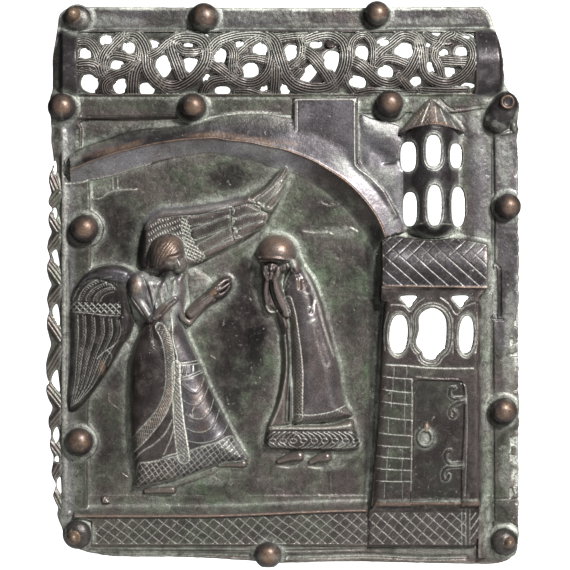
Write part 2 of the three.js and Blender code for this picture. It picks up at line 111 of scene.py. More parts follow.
def near(P, pad):
    """Distance to an open polyline, the run along it, and the side (+1 to the right of travel on the sheet)."""
    P = np.asarray(P, float)
    sl = win(P[:, 0].min() - pad, P[:, 0].max() + pad, P[:, 1].min() - pad, P[:, 1].max() + pad)
    u, v = U[sl], V[sl]
    best = np.full(u.shape, 1e9, F)
    T = np.zeros(u.shape, F)
    S = np.ones(u.shape, F)
    run = 0.0
    for a, b in zip(P[:-1], P[1:]):
        eu, ev = F(b[0] - a[0]), F(b[1] - a[1])
        n = eu * eu + ev * ev
        if n < 1e-9:
            continue
        ln = math.sqrt(n)
        wu, wv = u - F(a[0]), v - F(a[1])
        t = np.clip((wu * eu + wv * ev) / n, 0, 1)
        du, dv = wu - t * eu, wv - t * ev
        d2 = du * du + dv * dv
        m = d2 < best
        best[m] = d2[m]
        T[m] = (run + t * ln)[m]
        S[m] = np.sign(eu * wv - ev * wu)[m]
        run += ln
    return sl, np.sqrt(best), T, S, run


def sdf(P, pad=6.0):
    """Signed distance to a closed outline, positive inside."""
    P = np.asarray(P, float)
    sl = win(P[:, 0].min() - pad, P[:, 0].max() + pad, P[:, 1].min() - pad, P[:, 1].max() + pad)
    u, v = U[sl], V[sl]
    best = np.full(u.shape, 1e9, F)
    odd = np.zeros(u.shape, bool)
    for a, b in zip(P, np.roll(P, -1, 0)):
        eu, ev = F(b[0] - a[0]), F(b[1] - a[1])
        n = eu * eu + ev * ev
        if n < 1e-9:
            continue
        wu, wv = u - F(a[0]), v - F(a[1])
        t = np.clip((wu * eu + wv * ev) / n, 0, 1)
        du, dv = wu - t * eu, wv - t * ev
        np.minimum(best, du * du + dv * dv, out=best)
        if abs(ev) > 1e-9:
            odd ^= ((F(a[1]) > v) != (F(b[1]) > v)) & (wu < eu * wv / ev)
    d = np.sqrt(best)
    return sl, np.where(odd, d, -d).astype(F)


def smax(a, b, k):
    h = np.maximum(k - np.abs(a - b), 0) / k
    return np.maximum(a, b) + h * h * k * 0.25


def smoothstep(x):
    x = np.clip(x, 0, 1)
    return x * x * (3 - 2 * x)


def noise(scale, seed, sl=(slice(None), slice(None))):
    """Smooth random field, about -1..1, with features `scale` mm wide."""
    r = np.random.default_rng(seed)
    a, b = int((U1 - U0) / scale) + 4, int((V1 - V0) / scale) + 4
    g = r.uniform(-1, 1, (a, b)).astype(F)
    x, y = (U[sl] - U0) / scale + 1, (V[sl] - V0) / scale + 1
    i, j = x.astype(int), y.astype(int)
    fx, fy = smoothstep(x - i), smoothstep(y - j)
    return ((g[i, j] * (1 - fx) + g[i + 1, j] * fx) * (1 - fy) + (g[i, j + 1] * (1 - fx) + g[i + 1, j + 1] * fx) * fy)


def blur(a, r):
    """Three box passes of radius r mm."""
    n = max(int(round(r / STEP)), 1)
    for _ in range(3):
        for ax in (0, 1):
            pad = [(0, 0), (0, 0)]
            pad[ax] = (n + 1, n)
            c = np.cumsum(np.pad(a, pad, mode="edge").astype(np.float64), axis=ax)
            hi = np.take(c, np.arange(2 * n + 1, c.shape[ax]), axis=ax)
            lo = np.take(c, np.arange(0, c.shape[ax] - 2 * n - 1), axis=ax)
            a = ((hi - lo) / (2 * n + 1)).astype(F)
    return a


def bulge(P, h, w, base=4.0, power=0.5, k=1.5, pad=5.0, tilt=(0, 0)):
    """A rounded form inside an outline: it climbs from base to h over w mm from its edge."""
    sl, sd = sdf(P, pad)
    t = np.clip(sd / w, 0, 1)
    rise = (1 - (1 - t) ** 2) ** power
    top = h + tilt[0] * (U[sl] - P[:, 0].mean()) + tilt[1] * (V[sl] - P[:, 1].mean())
    z = np.where(sd < 0, base + sd * 4, base + (top - base) * rise)
    H[sl] = smax(H[sl], z.astype(F), k)
    return sl, sd


def tube(P, r, h, k=1.0, flat=0.9, n=None):
    """A round limb along a path; r and h (of its axis) can change from start to end."""
    P = spline(P, n) if len(P) > 2 else np.asarray(P, float)
    r = np.atleast_1d(r).astype(float)
    h = np.atleast_1d(h).astype(float)
    sl, d, T, S, L = near(P, r.max() + 3)
    f = T / max(L, 1e-6)
    rr = np.interp(f, np.linspace(0, 1, len(r)), r)
    hh = np.interp(f, np.linspace(0, 1, len(h)), h)
    z = np.where(d < rr, hh + flat * np.sqrt(np.maximum(rr * rr - d * d, 0)), hh - (d - rr) * 6)
    H[sl] = smax(H[sl], z.astype(F), k)
    return sl, d / rr, f


def dome(u, v, ru, rv, base, h, turn=0.0, k=1.0, power=2.0, into=None):
    sl = win(u - max(ru, rv) - 3, u + max(ru, rv) + 3, v - max(ru, rv) - 3, v + max(ru, rv) + 3)
    a = math.radians(turn)
    du, dv = U[sl] - u, V[sl] - v
    x = (du * math.cos(a) + dv * math.sin(a)) / ru
    y = (-du * math.sin(a) + dv * math.cos(a)) / rv
    q = np.sqrt(x * x + y * y)
    z = np.where(q < 1, base + (h - base) * np.sqrt(np.maximum(1 - q ** power, 0)), base - (q - 1) * min(ru, rv) * 6)
    H[sl] = smax(H[sl], z.astype(F), k)
    return sl, q


def stroke(P, w, amount, chalk_and_highlight=0.0, smooth=True, taper=0.0, region=None):
    """A chased groove (amount < 0) or a raised line (amount > 0) of width w."""
    P = spline(P) if smooth and len(P) > 2 else np.asarray(P, float)
    sl, d, T, S, L = near(P, w * 1.5 + 1)
    g = np.exp(-((d / (w * 0.55)) ** 2))
    if taper:
        g = g * smoothstep(T / taper) * smoothstep((L - T) / taper)
    if region is not None:
        g = g * region[sl]
    H[sl] += (amount * g).astype(F)
    if chalk_and_highlight:
        CHALK_AND_HIGHLIGHT[sl] = np.maximum(CHALK_AND_HIGHLIGHT[sl], (LINE_CHALK * chalk_and_highlight * np.exp(-((d / (w * 0.5)) ** 2))).astype(F) * (region[sl] if region is not None else 1))


def lines(sl, c, period, w, depth, region, chalk_and_highlight=0.6):
    """Parallel chased lines where coordinate c (mm) is a multiple of the period."""
    d = np.abs(((c / period + 0.5) % 1.0) - 0.5) * period
    g = np.exp(-((d / (w * 0.6)) ** 2)) * region
    H[sl] -= (depth * g).astype(F)
    CHALK_AND_HIGHLIGHT[sl] = np.maximum(CHALK_AND_HIGHLIGHT[sl], (LINE_CHALK * chalk_and_highlight * g).astype(F))


def paint(field, P, amount, soft, pad=None, closed=True):
    sl, sd = sdf(spline(P, closed=True), pad or soft + 2)
    field[sl] = np.maximum(field[sl], (amount * smoothstep((sd + soft) / (2 * soft))).astype(F))


def wobble(P, amp, seed, scale=9.0):
    """Hand-made irregularity along an outline."""
    r = np.random.default_rng(seed)
    P = np.asarray(P, float).copy()
    k = np.arange(len(P))
    for m in range(3):
        f = (m + 1) / scale * 2
        P[:, 0] += amp / (m + 1) * np.sin(k * f + r.uniform(0, 6))
        P[:, 1] += amp / (m + 1) * np.sin(k * f * 1.1 + r.uniform(0, 6))
    return P


n5, n2, n12, n30, n60 = noise(5, 1), noise(2, 2), noise(12, 3), noise(30, 4), noise(60, 5)

# ------------------------------------------------------------------ the sheet and its flanges
LEFT_EDGE = [  # (v, u) of the wavy edge of the zigzag bar, top to bottom
    (118, 50.5), (130, 51.5), (140, 51), (150, 52.5), (160, 53), (168, 52), (174, 49.5), (181, 48.5), (188, 50), (193, 51),
    (199, 48.5), (204, 49), (209, 52), (214, 49), (220, 48), (226, 49), (232, 51), (240, 48), (247, 47), (254, 49),
    (259, 49.5), (265, 47), (272, 46.8), (279, 48.5), (285, 51), (291, 48.5), (298, 47), (304, 47.5), (311, 49), (318, 47),
    (327, 46.5), (336, 48.5), (344, 50.5), (352, 48.5), (362, 46), (372, 46), (379, 47.5), (383, 49), (386, 46.5), (392, 46),
    (400, 48.5), (407, 52), (413, 50.5), (418, 48), (426, 48.5), (431, 50.5), (437, 50.5), (443, 49.5), (450, 50.5), (457, 53),
    (464, 52.5), (471, 51.2), (478, 53), (484, 55.5), (490, 54.5), (496, 53), (502, 55), (508, 58), (514, 57), (520, 58.5), (528, 62),
]
edge = [(59, 16), (63, 11), (70, 7.5), (90, 7), (180, 7.2), (280, 8), (380, 7.5), (474, 6.5), (482, 7.5), (489, 13), (494, 27),
        (500, 46), (503, 62), (505, 84), (509, 91), (516, 97), (519, 107), (517.5, 120), (518.5, 130), (517.3, 139), (518.3, 155),
        (518, 200), (519, 260), (518.4, 330), (518.8, 420), (518.4, 500), (518, 545), (513, 556), (505, 561.5), (490, 564),
        (450, 563.5), (400, 562.5), (340, 561.5), (286, 563), (262, 561.5), (230, 559.5), (180, 557), (120, 556.7), (97, 554.2),
        (84, 551), (72, 546), (65, 538)]
edge += [(u, v) for v, u in reversed(LEFT_EDGE)]
edge += [(50, 112), (50, 98), (52.5, 88), (52.5, 62), (54.5, 45), (57.5, 28)]
sl, sd = sdf(spline(edge, n=len(edge) * 4, closed=True), 60)
M[sl] = np.minimum(M[sl], sd)
M += np.where(U > 500, n5 * 0.7 + n2 * 0.4, n5 * 0.25).astype(F)  # the right edge is pitted

H += (0.35 * n30 + 0.12 * n5 + 0.05 * n2).astype(F)
field = spline([(83.5, 121), (130, 120.5), (180, 118.5), (240, 114), (290, 115), (357, 114), (400, 113), (453, 113), (484, 109), (491, 117),
                (492, 170), (492.5, 262), (497, 270), (497.5, 316), (491, 322), (491, 440), (492, 530), (480, 546), (380, 547),
                (240, 546), (104, 545), (92, 538), (87.5, 500), (88, 415), (90.5, 270), (90.5, 240), (89, 184), (82.5, 160), (82, 130)], n=160, closed=True)
sl, sd = sdf(field, 60)
flange = smoothstep((0.8 - sd) / 2.2)
sd_field = np.full(U.shape, -60, F)
sd_field[sl] = sd
step = np.ones(U.shape, F)
step[sl] = flange
H += ((FLANGE_H - SHEET_H) * step).astype(F)
# a thin lip doubles the flange's lower edge on both sides of the arch
stroke([(82, 115.6), (120, 116), (176, 115)], 1.3, -1.1)
stroke([(84, 119.5), (130, 119.2), (178, 117.5)], 1.2, -0.8)
stroke([(440, 99), (447, 106), (454, 109.5)], 1.2, -1.0)
stroke([(452, 108), (468, 107.3), (484, 105.5)], 1.6, -1.3)
stroke([(360, 111.8), (372, 111.5)], 2.5, -1.0)

# left flange strip: rail beside the zigzag bar, sunk groove between rail and strip
stroke([(62.5, 132), (63.5, 200), (64, 300), (63.5, 400), (65.5, 500), (68, 514)], 6.5, 1.6)
stroke([(67.5, 262), (68.5, 300), (68, 380), (67.5, 404)], 3.0, -1.4)
stroke([(79, 130), (79.5, 148)], 4, -0.6)

# right flange: the dark step line beside the field, pits along its outer edge
stroke([(492.5, 122), (493.5, 160), (494, 262)], 2.0, -2.8)
stroke([(493.5, 263), (497, 265), (500, 268)], 1.6, -1.6)
stroke([(500.2, 268), (500.6, 316)], 1.8, -2.4)
stroke([(492.5, 322), (493, 400), (493.5, 520)], 2.2, -2.6)
stroke([(493, 319), (497, 319.5), (503, 319.5)], 1.8, -1.8)
stroke([(489, 499), (518, 498.5)], 1.2, -1.3)
# painted shade along the left-facing risers of the step
for P in ([(493, 122), (493.5, 160), (494, 262)], [(500.2, 268), (500.6, 316)], [(492.6, 322), (493, 400), (493.5, 528)]):
    sl, d, T, S, L = near(P, 4)
    GROOVE_AND_SHADE[sl] = np.maximum(GROOVE_AND_SHADE[sl], (0.8 * np.exp(-((d / 0.9) ** 2))).astype(F))
pits = smoothstep((0.75 * noise(9, 21) + 0.45 * noise(4.5, 21) - 0.12) * 3) * smoothstep((U - np.where(V > 300, 508, 513.5)) / 3) * np.where(V > 290, 1.0, 0.35)
H -= (2.4 * pits).astype(F)
CHALK_AND_HIGHLIGHT += (0.45 * pits).astype(F)

# ------------------------------------------------------------------ top bar: round section, interlace of grooved straps
sl = win(56, 506, BAR_TOP - 1, BAR_BOTTOM + 1)
u, v = U[sl], V[sl]
sv = np.clip((v - BAR_TOP) / (BAR_BOTTOM - BAR_TOP), 0, 1)
arc = np.maximum(np.sin(np.pi * sv), 0) ** 0.8
endcap = smoothstep((u - 57) / 7) * smoothstep((505 - u - 0.10 * np.maximum(60 - v, 0)) / 7)
hb = FLANGE_H - 1 + (BAR_CROWN - FLANGE_H + 1) * arc * endcap
HB = np.full(U.shape, FLANGE_H, F)
HB[sl] = hb
H[sl] = smax(H[sl], hb, 2.0)
inner_bar = smoothstep((U - 77.5) / 1.6) * smoothstep((475.5 - U) / 1.6) * smoothstep((V - 31.5) / 1.5) * smoothstep((94.5 - V) / 1.5)
H -= (3.0 * inner_bar * (arc.max() > 0)).astype(F)

STRAPS = [  # centre line, half width, rank
    ([(80, 42), (88, 42.5), (95, 49), (99, 58), (100, 68)], 4.6, 0.0),
    ([(80, 64.5), (90, 64), (98, 67), (101, 74)], 4.4, 0.5),
    ([(79, 72), (86, 71), (92, 70.5), (98, 75)], 3.0, -0.4),
    ([(124, 33), (117, 41), (110, 49), (105, 57), (103, 66), (105, 75), (111, 79)], 5.0, 0.2),
    ([(136, 60), (122, 56.5), (113, 56), (107, 62), (105, 72)], 4.4, 0.7),
    ([(127, 37), (134, 42), (138, 52), (136, 62), (128, 70), (115, 75), (106, 80), (102, 88), (101, 95)], 4.6, -0.3),
    ([(140, 62), (135, 72), (133, 82), (132, 94)], 5.4, 0.4),
    ([(112, 79), (105.5, 85), (106, 92), (112, 95.5)], 4.0, 0.9),
    ([(128, 34), (137, 36), (144, 45), (147, 55), (148, 68), (153, 78), (163, 86), (175, 88), (188, 82), (198, 74), (205, 64),
      (207, 52), (204, 43), (196, 38), (185, 37), (176, 39), (172, 46), (176, 60), (183, 78)], 5.2, 0.0),
    ([(150, 57), (158, 53), (168, 43), (178, 37)], 4.0, 0.8),
    ([(178, 40), (178, 47), (183, 52), (193, 53), (200, 52)], 4.0, 0.5),
    ([(153, 72), (158, 80), (165, 90), (176, 94)], 4.0, -0.5),
    ([(203, 96), (206, 88), (213, 82), (224, 80), (233, 79)], 4.2, 0.5),
    ([(211, 50), (218, 42), (228, 37.5), (240, 34.5), (255, 33.5), (266, 36), (274, 43), (277.5, 53), (281, 65), (286, 77), (296, 86),
      (310, 90), (325, 89.5), (335, 84), (343, 72), (346, 58), (344, 45), (337, 37), (328, 34), (318, 35.5), (306, 40)], 5.2, 0.1),
    ([(222, 42), (230, 47), (233.5, 55), (232.5, 68), (234, 78)], 4.6, 0.7),
    ([(212, 64), (222, 71), (233, 79), (245, 84.5), (258, 83), (268, 74), (272, 62), (272, 50), (267, 40)], 4.8, -0.2),
    ([(257, 38), (248, 43.5), (240, 51), (234.5, 58), (235, 67), (239, 74)], 4.4, 0.2),
    ([(266, 61.5), (255, 59), (245, 60), (238, 66)], 3.8, 0.9),
    ([(236, 92), (248, 92.5), (262, 96), (276, 94)], 4.2, 0.0),
    ([(275.5, 66), (275.5, 80), (274, 95)], 5.0, 0.6),
    ([(300, 38), (302.5, 48), (300, 60), (291, 68)], 4.4, 0.4),
    ([(278, 38), (292, 36), (306, 35)], 4.2, -0.3),
    ([(303, 51), (312, 57), (320, 66), (329, 78), (334, 88)], 5.0, 0.8),
    ([(296, 66), (302, 60), (308, 56)], 3.6, 0.2),
    ([(293, 79), (300, 72)], 4.0, -0.2),
    ([(350, 62), (350, 51), (352, 42), (358, 36), (365, 35), (371, 42), (373, 52), (372, 66)], 3.8, 0.5),
    ([(351, 62), (360, 66.5), (370, 75), (380, 82.5), (392, 84.5), (405, 76), (413, 64), (418, 50), (416, 40), (408, 35.5), (400, 36),
      (390, 44), (380, 51.5), (374, 59)], 5.0, 0.0),
    ([(376, 67), (383, 60.5), (394, 60.5), (406, 65)], 4.0, 0.8),
    ([(345, 72), (349, 84), (356, 93)], 4.4, 0.2),
    ([(352, 96), (368, 92.5), (384, 92.5), (400, 93), (416, 92)], 4.2, 0.3),
    ([(398, 76), (404, 84), (412, 92)], 4.0, 0.6),
    ([(416, 38), (421, 48), (422, 60), (424, 72), (432, 80), (445, 83.5), (458, 79.5), (468, 70), (473, 58), (471, 46), (463, 38.5),
      (452, 33)], 4.8, 0.1),
    ([(436, 47), (433, 58), (437, 66), (441, 77)], 4.0, 0.6),
    ([(436, 61), (452, 62.5), (467, 63)], 4.6, 0.3),
    ([(452, 33), (444, 38), (440, 44), (434, 50)], 4.4, 0.7),
    ([(425, 34), (432, 40), (444, 43)], 4.0, 0.2),
    ([(420, 90), (432, 91), (448, 91.5), (466, 91)], 4.0, -0.2),
]
BEST = np.full(U.shape, -99, F)
GAP = np.full(U.shape, 9, F)
for idx, (pts, w, rank) in enumerate(STRAPS):
    P = spline(pts, n=len(pts) * 7)
    w = w * (1.22 if w > 4.5 else 1.12)
    sl, d, T, S, L = near(P, w + 2)
    e = np.clip(d / w, 0, 1.3)
    lift = rank + 0.9 * np.sin(T * 2 * np.pi / 52 + idx * 1.7) - 1.3 * (1 - smoothstep(np.minimum(T, L - T) / 9.0))
    GAP[sl] = np.minimum(GAP[sl], d - w)
    body = HB[sl] - 2.2 + lift + 1.5 * np.sqrt(np.maximum(1 - e * e, 0))
    es = e * S  # ridges run along the strap
    grooves = 0.5 + 0.5 * np.cos(es * np.pi * (5.0 if w > 5 else 4.0) + (np.pi if w > 5 else 0))
    body = body - 1.15 * (1 - grooves)
    inside = (d < w)
    win_ok = (inner_bar[sl] > 0.2)
    better = inside & win_ok & (body > BEST[sl])
    BEST[sl] = np.where(better, body, BEST[sl])
    # painted light on the straps: black in the grooves as shade, pale and coppery on the crests as highlight, paler
    # towards the top of the bar
    GROOVE_AND_SHADE[sl] = np.where(better, 0.95 * np.clip((1 - grooves) * 1.5 - 0.2, 0, 1), GROOVE_AND_SHADE[sl])
    DUST_AND_HIGHLIGHT[sl] = np.where(better, 0.42 * np.clip(1.0 - (V[sl] - 30) / 90, 0.3, 1) * grooves ** 2.5, DUST_AND_HIGHLIGHT[sl])
    CHALK_AND_HIGHLIGHT[sl] = np.where(better, np.clip(0.86 - (V[sl] - 30) / 72, 0.10, 1) * grooves ** 6, CHALK_AND_HIGHLIGHT[sl])
    WEAR_AND_HIGHLIGHT[sl] = np.where(better, 0.26 * grooves, WEAR_AND_HIGHLIGHT[sl])
    PLAIN[sl] = np.where(better, 0.7, PLAIN[sl])
take = BEST > -50
H = np.where(take, np.maximum(BEST, HB - 4.6), H).astype(F)
floor_ = (~take) & (inner_bar > 0.5)
H = np.where(floor_, H - 1.4, H).astype(F)
DARK_AND_SHADE = np.where(floor_, 0.8, DARK_AND_SHADE).astype(F)

OPENINGS = [  # centre, half sizes, turn
    (87, 55.5, 6, 5.5, 0), (91.5, 84, 8.5, 7, 18), (108, 41, 6, 4.8, 10), (130.5, 49, 6, 7, 0), (117, 67, 6.2, 4.5, 0),
    (121.5, 86.5, 6.5, 5.3, -25), (147, 89, 6, 4.6, 0), (155.5, 46, 4.8, 3, 30), (188.5, 45.5, 3.2, 3, 0),
    (207, 79, 2.6, 2.6, 0), (222.5, 90.5, 5.3, 2.6, 0), (219.5, 57.5, 5.4, 7.5, 15), (240, 45.5, 6.2, 3.2, -25),
    (261.5, 50.5, 7.3, 6.2, -25), (250, 72, 7.3, 7, 0), (263, 89, 3.2, 3.2, 0), (284, 89, 4.6, 4.8, 0),
    (291.5, 54, 6.2, 7, 10), (308.5, 74.5, 4.6, 9.6, 42), (314, 44.5, 6, 3.4, 0), (331, 62.5, 7.6, 9.4, 15),
    (355.5, 83, 8.2, 5.3, 10), (361.5, 54.5, 5.2, 6.5, 0), (384, 43.5, 6.2, 4.2, -20), (404.5, 52.5, 9, 7.6, 10),
    (383.5, 73, 7.5, 5.8, 10), (414, 82.5, 5, 3.4, -20), (429, 68, 3.8, 7, -8), (427, 46, 2.8, 3, 0),
    (441.5, 54.5, 4.4, 3.6, 0), (448, 73, 4.8, 6, -10), (460.5, 53.5, 4.6, 4.6, 0), (466.5, 37, 5.4, 3, 10),
    (437.5, 34, 5.2, 2, 8), (421.5, 34, 3.2, 1.8, 0), (204, 36, 2.4, 1.4, 0), (219, 38.5, 2.2, 1.6, 0), (462, 86, 7, 1.5, 0),
]
HOLE = np.full(U.shape, 50, F)


def opening(u, v, ru, rv, turn, p=2.4):
    sl = win(u - ru - rv - 4, u + ru + rv + 4, v - ru - rv - 4, v + ru + rv + 4)
    a = math.radians(turn)
    du, dv = U[sl] - u, V[sl] - v
    x = (du * math.cos(a) + dv * math.sin(a)) / ru
    y = (-du * math.sin(a) + dv * math.cos(a)) / rv
    q = (np.abs(x) ** p + np.abs(y) ** p) ** (1 / p)
    HOLE[sl] = np.minimum(HOLE[sl], (q - 1) * min(ru, rv) * (1 + 0.06 * n5[sl]))


def opening_poly(pts, smooth=True):
    sl, sd = sdf(spline(pts, closed=True) if smooth else np.asarray(pts, float), 6)
    HOLE[sl] = np.minimum(HOLE[sl], -sd)


for o in OPENINGS:
    opening(*o)
opening_poly([(165, 57.5), (171.5, 64), (170, 71), (164.5, 76.5), (158, 69), (158.5, 62)])   # diamond
opening_poly([(186, 61), (198, 62), (196, 69), (190, 74.5), (184.5, 69)])                     # triangle

# the openings reach out to the straps round them
HOLE = np.minimum(HOLE + 1.1, np.maximum(np.maximum(HOLE - 1.2, 0.85 - GAP), (0.6 - inner_bar) * 5)).astype(F)

# solid hooks and lumps among the straps
for (u_, v_, ru, rv, hh) in [(190, 55, 9, 4.5, 1.2), (445, 42, 8, 4.5, 1.0), (206, 72, 5, 4, 0.8), (330, 45, 5, 4, 0.5)]:
    sl = win(u_ - 12, u_ + 12, v_ - 8, v_ + 8)
    q = ((U[sl] - u_) / ru) ** 2 + ((V[sl] - v_) / rv) ** 2
    H[sl] = np.where(q < 1, np.maximum(H[sl], HB[sl] - 0.8 + hh * (1 - q)), H[sl])
# bar ends: plain blocks with a crease
stroke([(62.5, 46), (62, 60), (62.5, 86)], 3.2, -0.7)
stroke([(53, 60), (60, 58)], 1.4, -0.5)
stroke([(56, 40), (62, 34), (78, 31)], 2.0, 0.9)
stroke([(77.5, 36), (78, 60), (77.5, 92)], 1.6, -1.0)
stroke([(475, 34), (475.5, 60), (475, 90)], 1.6, -1.0)
stroke([(66, 28.5), (200, 28), (340, 28.5), (486, 27)], 3.2, -1.2)
stroke([(80, 97), (200, 97.5), (290, 97.5)], 2.4, -0.9)

for a_, b_ in ((56, 78.5), (475, 506)):
    sl = win(a_, b_, 30, 96)
    DARK_AND_SHADE[sl] = np.maximum(DARK_AND_SHADE[sl], 0.85 * smoothstep((U[sl] - a_) / 3) * smoothstep((b_ - U[sl]) / 2) * smoothstep((V[sl] - 30) / 4) * smoothstep((97 - V[sl]) / 4)).astype(F)
    PLAIN[sl] = np.maximum(PLAIN[sl], (V[sl] > 31) * (V[sl] < 96) * 1.0).astype(F)

# ------------------------------------------------------------------ zigzag bar down the left edge
zone = smoothstep((62 - U) / 2.0) * smoothstep((V - 150) / 8) * smoothstep((512 - V) / 6)
H -= (3.4 * zone).astype(F)
LEGS = [((48.5, 171), (57, 190)), ((59, 193), (48, 206)), ((47.5, 212), (59, 229)), ((59, 238), (47.5, 253)),
        ((46, 261), (62.5, 283)), ((62, 288), (46.5, 307)), ((46, 315), (62.5, 339)), ((62, 349), (46, 376)),
        ((46, 385), (63, 406)), ((64, 411), (48.5, 430)), ((49, 440), (61, 456)), ((61, 465), (52, 480)), ((53.5, 489), (62, 506))]
for k, (a, b) in enumerate(LEGS):
    a, b = np.array(a, float), np.array(b, float)
    mid = (a + b) / 2 + (1.0 if k % 2 else -1.0) * np.array([0.0, 0.6])
    sl, d, T, S, L = near(spline([a, mid, b], n=12), 9)
    w = 6.4
    e = np.clip(d / w, 0, 1.2)
    z = 6.6 + 3.2 * np.sqrt(np.maximum(1 - e * e, 0)) + 0.5 * (k % 2)
    z = z - 0.9 * (0.5 - 0.5 * np.cos(e * S * np.pi * 3.6))
    ok = (d < w) & (U[sl] < 62.5)
    H[sl] = np.where(ok & (z > H[sl] - 0.5), np.maximum(z, H[sl] * 0 + 6), H[sl])
for pts in [[(53, 162), (55.5, 161), (56.5, 169), (55, 175), (53, 170)], [(52.5, 209), (55.5, 208), (57, 214), (55, 218.5)],
            [(52, 253), (56, 249.5), (58, 257), (59, 266), (54.5, 262)], [(52, 310), (56.5, 304), (59, 314), (59.2, 326), (54.5, 319)],
            [(51, 381), (53, 374), (57, 370), (58.5, 380), (59.5, 392), (54.5, 387)], [(52.5, 437), (53.5, 431), (57, 427), (59, 436), (56, 443)],
            [(56.5, 488), (56.5, 481), (60, 477), (61, 486), (60.8, 494)], [(54, 461), (55, 457), (58, 456), (58.5, 462)]]:
    opening_poly(pts)

# ------------------------------------------------------------------ arch: face, sharp ridge and soffit
ARCH_O = spline([(64, 160), (72, 153.5), (80, 149), (90, 145), (100, 142), (110, 138.5), (125, 133), (140, 130), (160, 128), (180, 126.5),
                 (200, 121.5), (215, 117.5), (230, 115), (250, 113.8), (270, 114.5), (283, 117), (300, 120), (330, 128), (352, 142), (357, 158),
                 (364, 170), (383, 191), (398, 214), (404, 232)])
ARCH_R = spline([(66, 171), (80, 166.5), (90, 162), (100, 158.5), (110, 155), (120, 152), (130, 149.5), (145, 146), (160, 143), (180, 140.2),
                 (200, 138.7), (215, 138.3), (226, 140.2), (240, 141.5), (252, 143), (262, 145.5), (275, 147.8), (285, 150), (300, 155.5),
                 (312, 160.5), (322, 166), (335, 174), (345, 181), (355, 190), (365, 201), (374, 213), (381, 226), (385, 238)])
ARCH_L = spline([(65, 184), (80, 182.5), (90, 180), (100, 178.5), (115, 175), (125, 172), (135, 168.5), (150, 164.5), (160, 161), (175, 157.5),
                 (190, 155), (200, 153.2), (212, 152.8), (225, 155), (240, 158), (258, 162), (270, 166), (280, 169), (292, 172.5), (305, 178),
                 (318, 186.5), (330, 194), (340, 203), (350, 213), (361, 226), (369, 238), (374, 250)])


def rise_between(A, B, ha, hb, power, k=1.0):
    region = np.concatenate([A, B[::-1]])
    sl, sd = sdf(region, 2)
    dA = np.full(U.shape, 99, F)
    dB = np.full(U.shape, 99, F)
    s1, d, *_ = near(A, 40)
    dA[s1] = d
    s2, d, *_ = near(B, 40)
    dB[s2] = d
    f = dA[sl] / np.maximum(dA[sl] + dB[sl], 1e-3)
    hb = hb[sl] if isinstance(hb, np.ndarray) else hb
    z = ha + (hb - ha) * f ** power
    H[sl] = np.where(sd > 0, smax(H[sl], z, k), H[sl])
    return sl, sd, f


sl, sd, f_ = rise_between(ARCH_O, ARCH_R, SHEET_H + 3.2, RIDGE_H, 0.62)
on = smoothstep(sd / 1.2)
DARK_AND_SHADE[sl] = np.maximum(DARK_AND_SHADE[sl], on * 0.95 * smoothstep((f_ - 0.42) / 0.3) * smoothstep((300 - U[sl]) / 40)).astype(F)
PLAIN[sl] = np.maximum(PLAIN[sl], on * smoothstep((f_ - 0.15) / 0.4) * 0.9).astype(F)
PLAIN[sl] = np.maximum(PLAIN[sl], on * smoothstep((U[sl] - 275) / 30)).astype(F)
# pale bloom near the arch face's outer edge, partly painted light on its upward-facing part
DUST_AND_HIGHLIGHT[sl] = np.maximum(DUST_AND_HIGHLIGHT[sl], on * 0.5 * smoothstep((0.55 - f_) / 0.3) * smoothstep((300 - U[sl]) / 30)).astype(F)
sl, sd, f_ = rise_between(ARCH_R, ARCH_L, RIDGE_H, SHEET_H + 2.4 - 1.5 * smoothstep((U - 140) / 40), 0.85)
on = smoothstep(sd / 1.0)
PLAIN[sl] = np.maximum(PLAIN[sl], on * 0.95 * smoothstep((330 - U[sl]) / 40)).astype(F)
DUST_AND_HIGHLIGHT[sl] = np.maximum(DUST_AND_HIGHLIGHT[sl], on * 0.2 * smoothstep((300 - U[sl]) / 60) * np.clip(0.6 + 0.6 * n12[sl], 0, 1)).astype(F)
sl, sd = sdf(np.concatenate([ARCH_R, ARCH_L[::-1]]), 2)
DARK_AND_SHADE[sl] = np.maximum(DARK_AND_SHADE[sl], smoothstep(sd / 2) * 0.95 * smoothstep((U[sl] - 286) / 40) * np.clip(0.9 - 0.3 * n30[sl], 0, 1)).astype(F)
paint(DARK_AND_SHADE, [(300, 128), (330, 132), (354, 150), (360, 172), (384, 196), (398, 216), (386, 232), (374, 208), (352, 186), (325, 166), (300, 154)], 0.62, 7.0)
stroke(ARCH_R, 2.2, 0.7, smooth=False)
sl, d, T, S, L = near(ARCH_R, 4)
WEAR_AND_HIGHLIGHT[sl] = np.maximum(WEAR_AND_HIGHLIGHT[sl], (np.exp(-((d / 1.0) ** 2)) * np.clip(0.75 + 0.4 * n12[sl], 0, 1)).astype(F))
stroke([(66, 184), (80, 182.5), (90, 180), (100, 178.5), (115, 175), (125, 172), (135, 168.5), (150, 164.5)], 1.5, 0.3, 0.75)
stroke([(206, 119.8), (220, 115.5), (235, 113.6), (252, 112.8), (270, 113.5), (290, 116.5)], 2.2, 0.6, 0.7)
# the arch's cut left end and a few casting lines
hole_end = spline([(63, 172), (66, 163), (69.3, 159), (69.5, 181), (66, 178)], closed=True)
sl, sd = sdf(hole_end, 3)
H[sl] = np.where(sd > 0, np.minimum(H[sl], 6.5 - 0.5 * sd), H[sl])
GROOVE_AND_SHADE[sl] = np.maximum(GROOVE_AND_SHADE[sl], (0.8 * smoothstep(sd / 1.5)).astype(F))
stroke([(93, 199), (101, 198), (108, 192.5), (120, 190), (136, 189.5)], 2.0, 1.1, 0.35)
stroke([(91, 184), (91.5, 199)], 2.2, 0.5, 0.5)
stroke([(112, 177), (112.5, 189)], 1.2, 0.35, 0.25)
stroke([(117, 176), (117.5, 188)], 1.2, 0.35, 0.25)

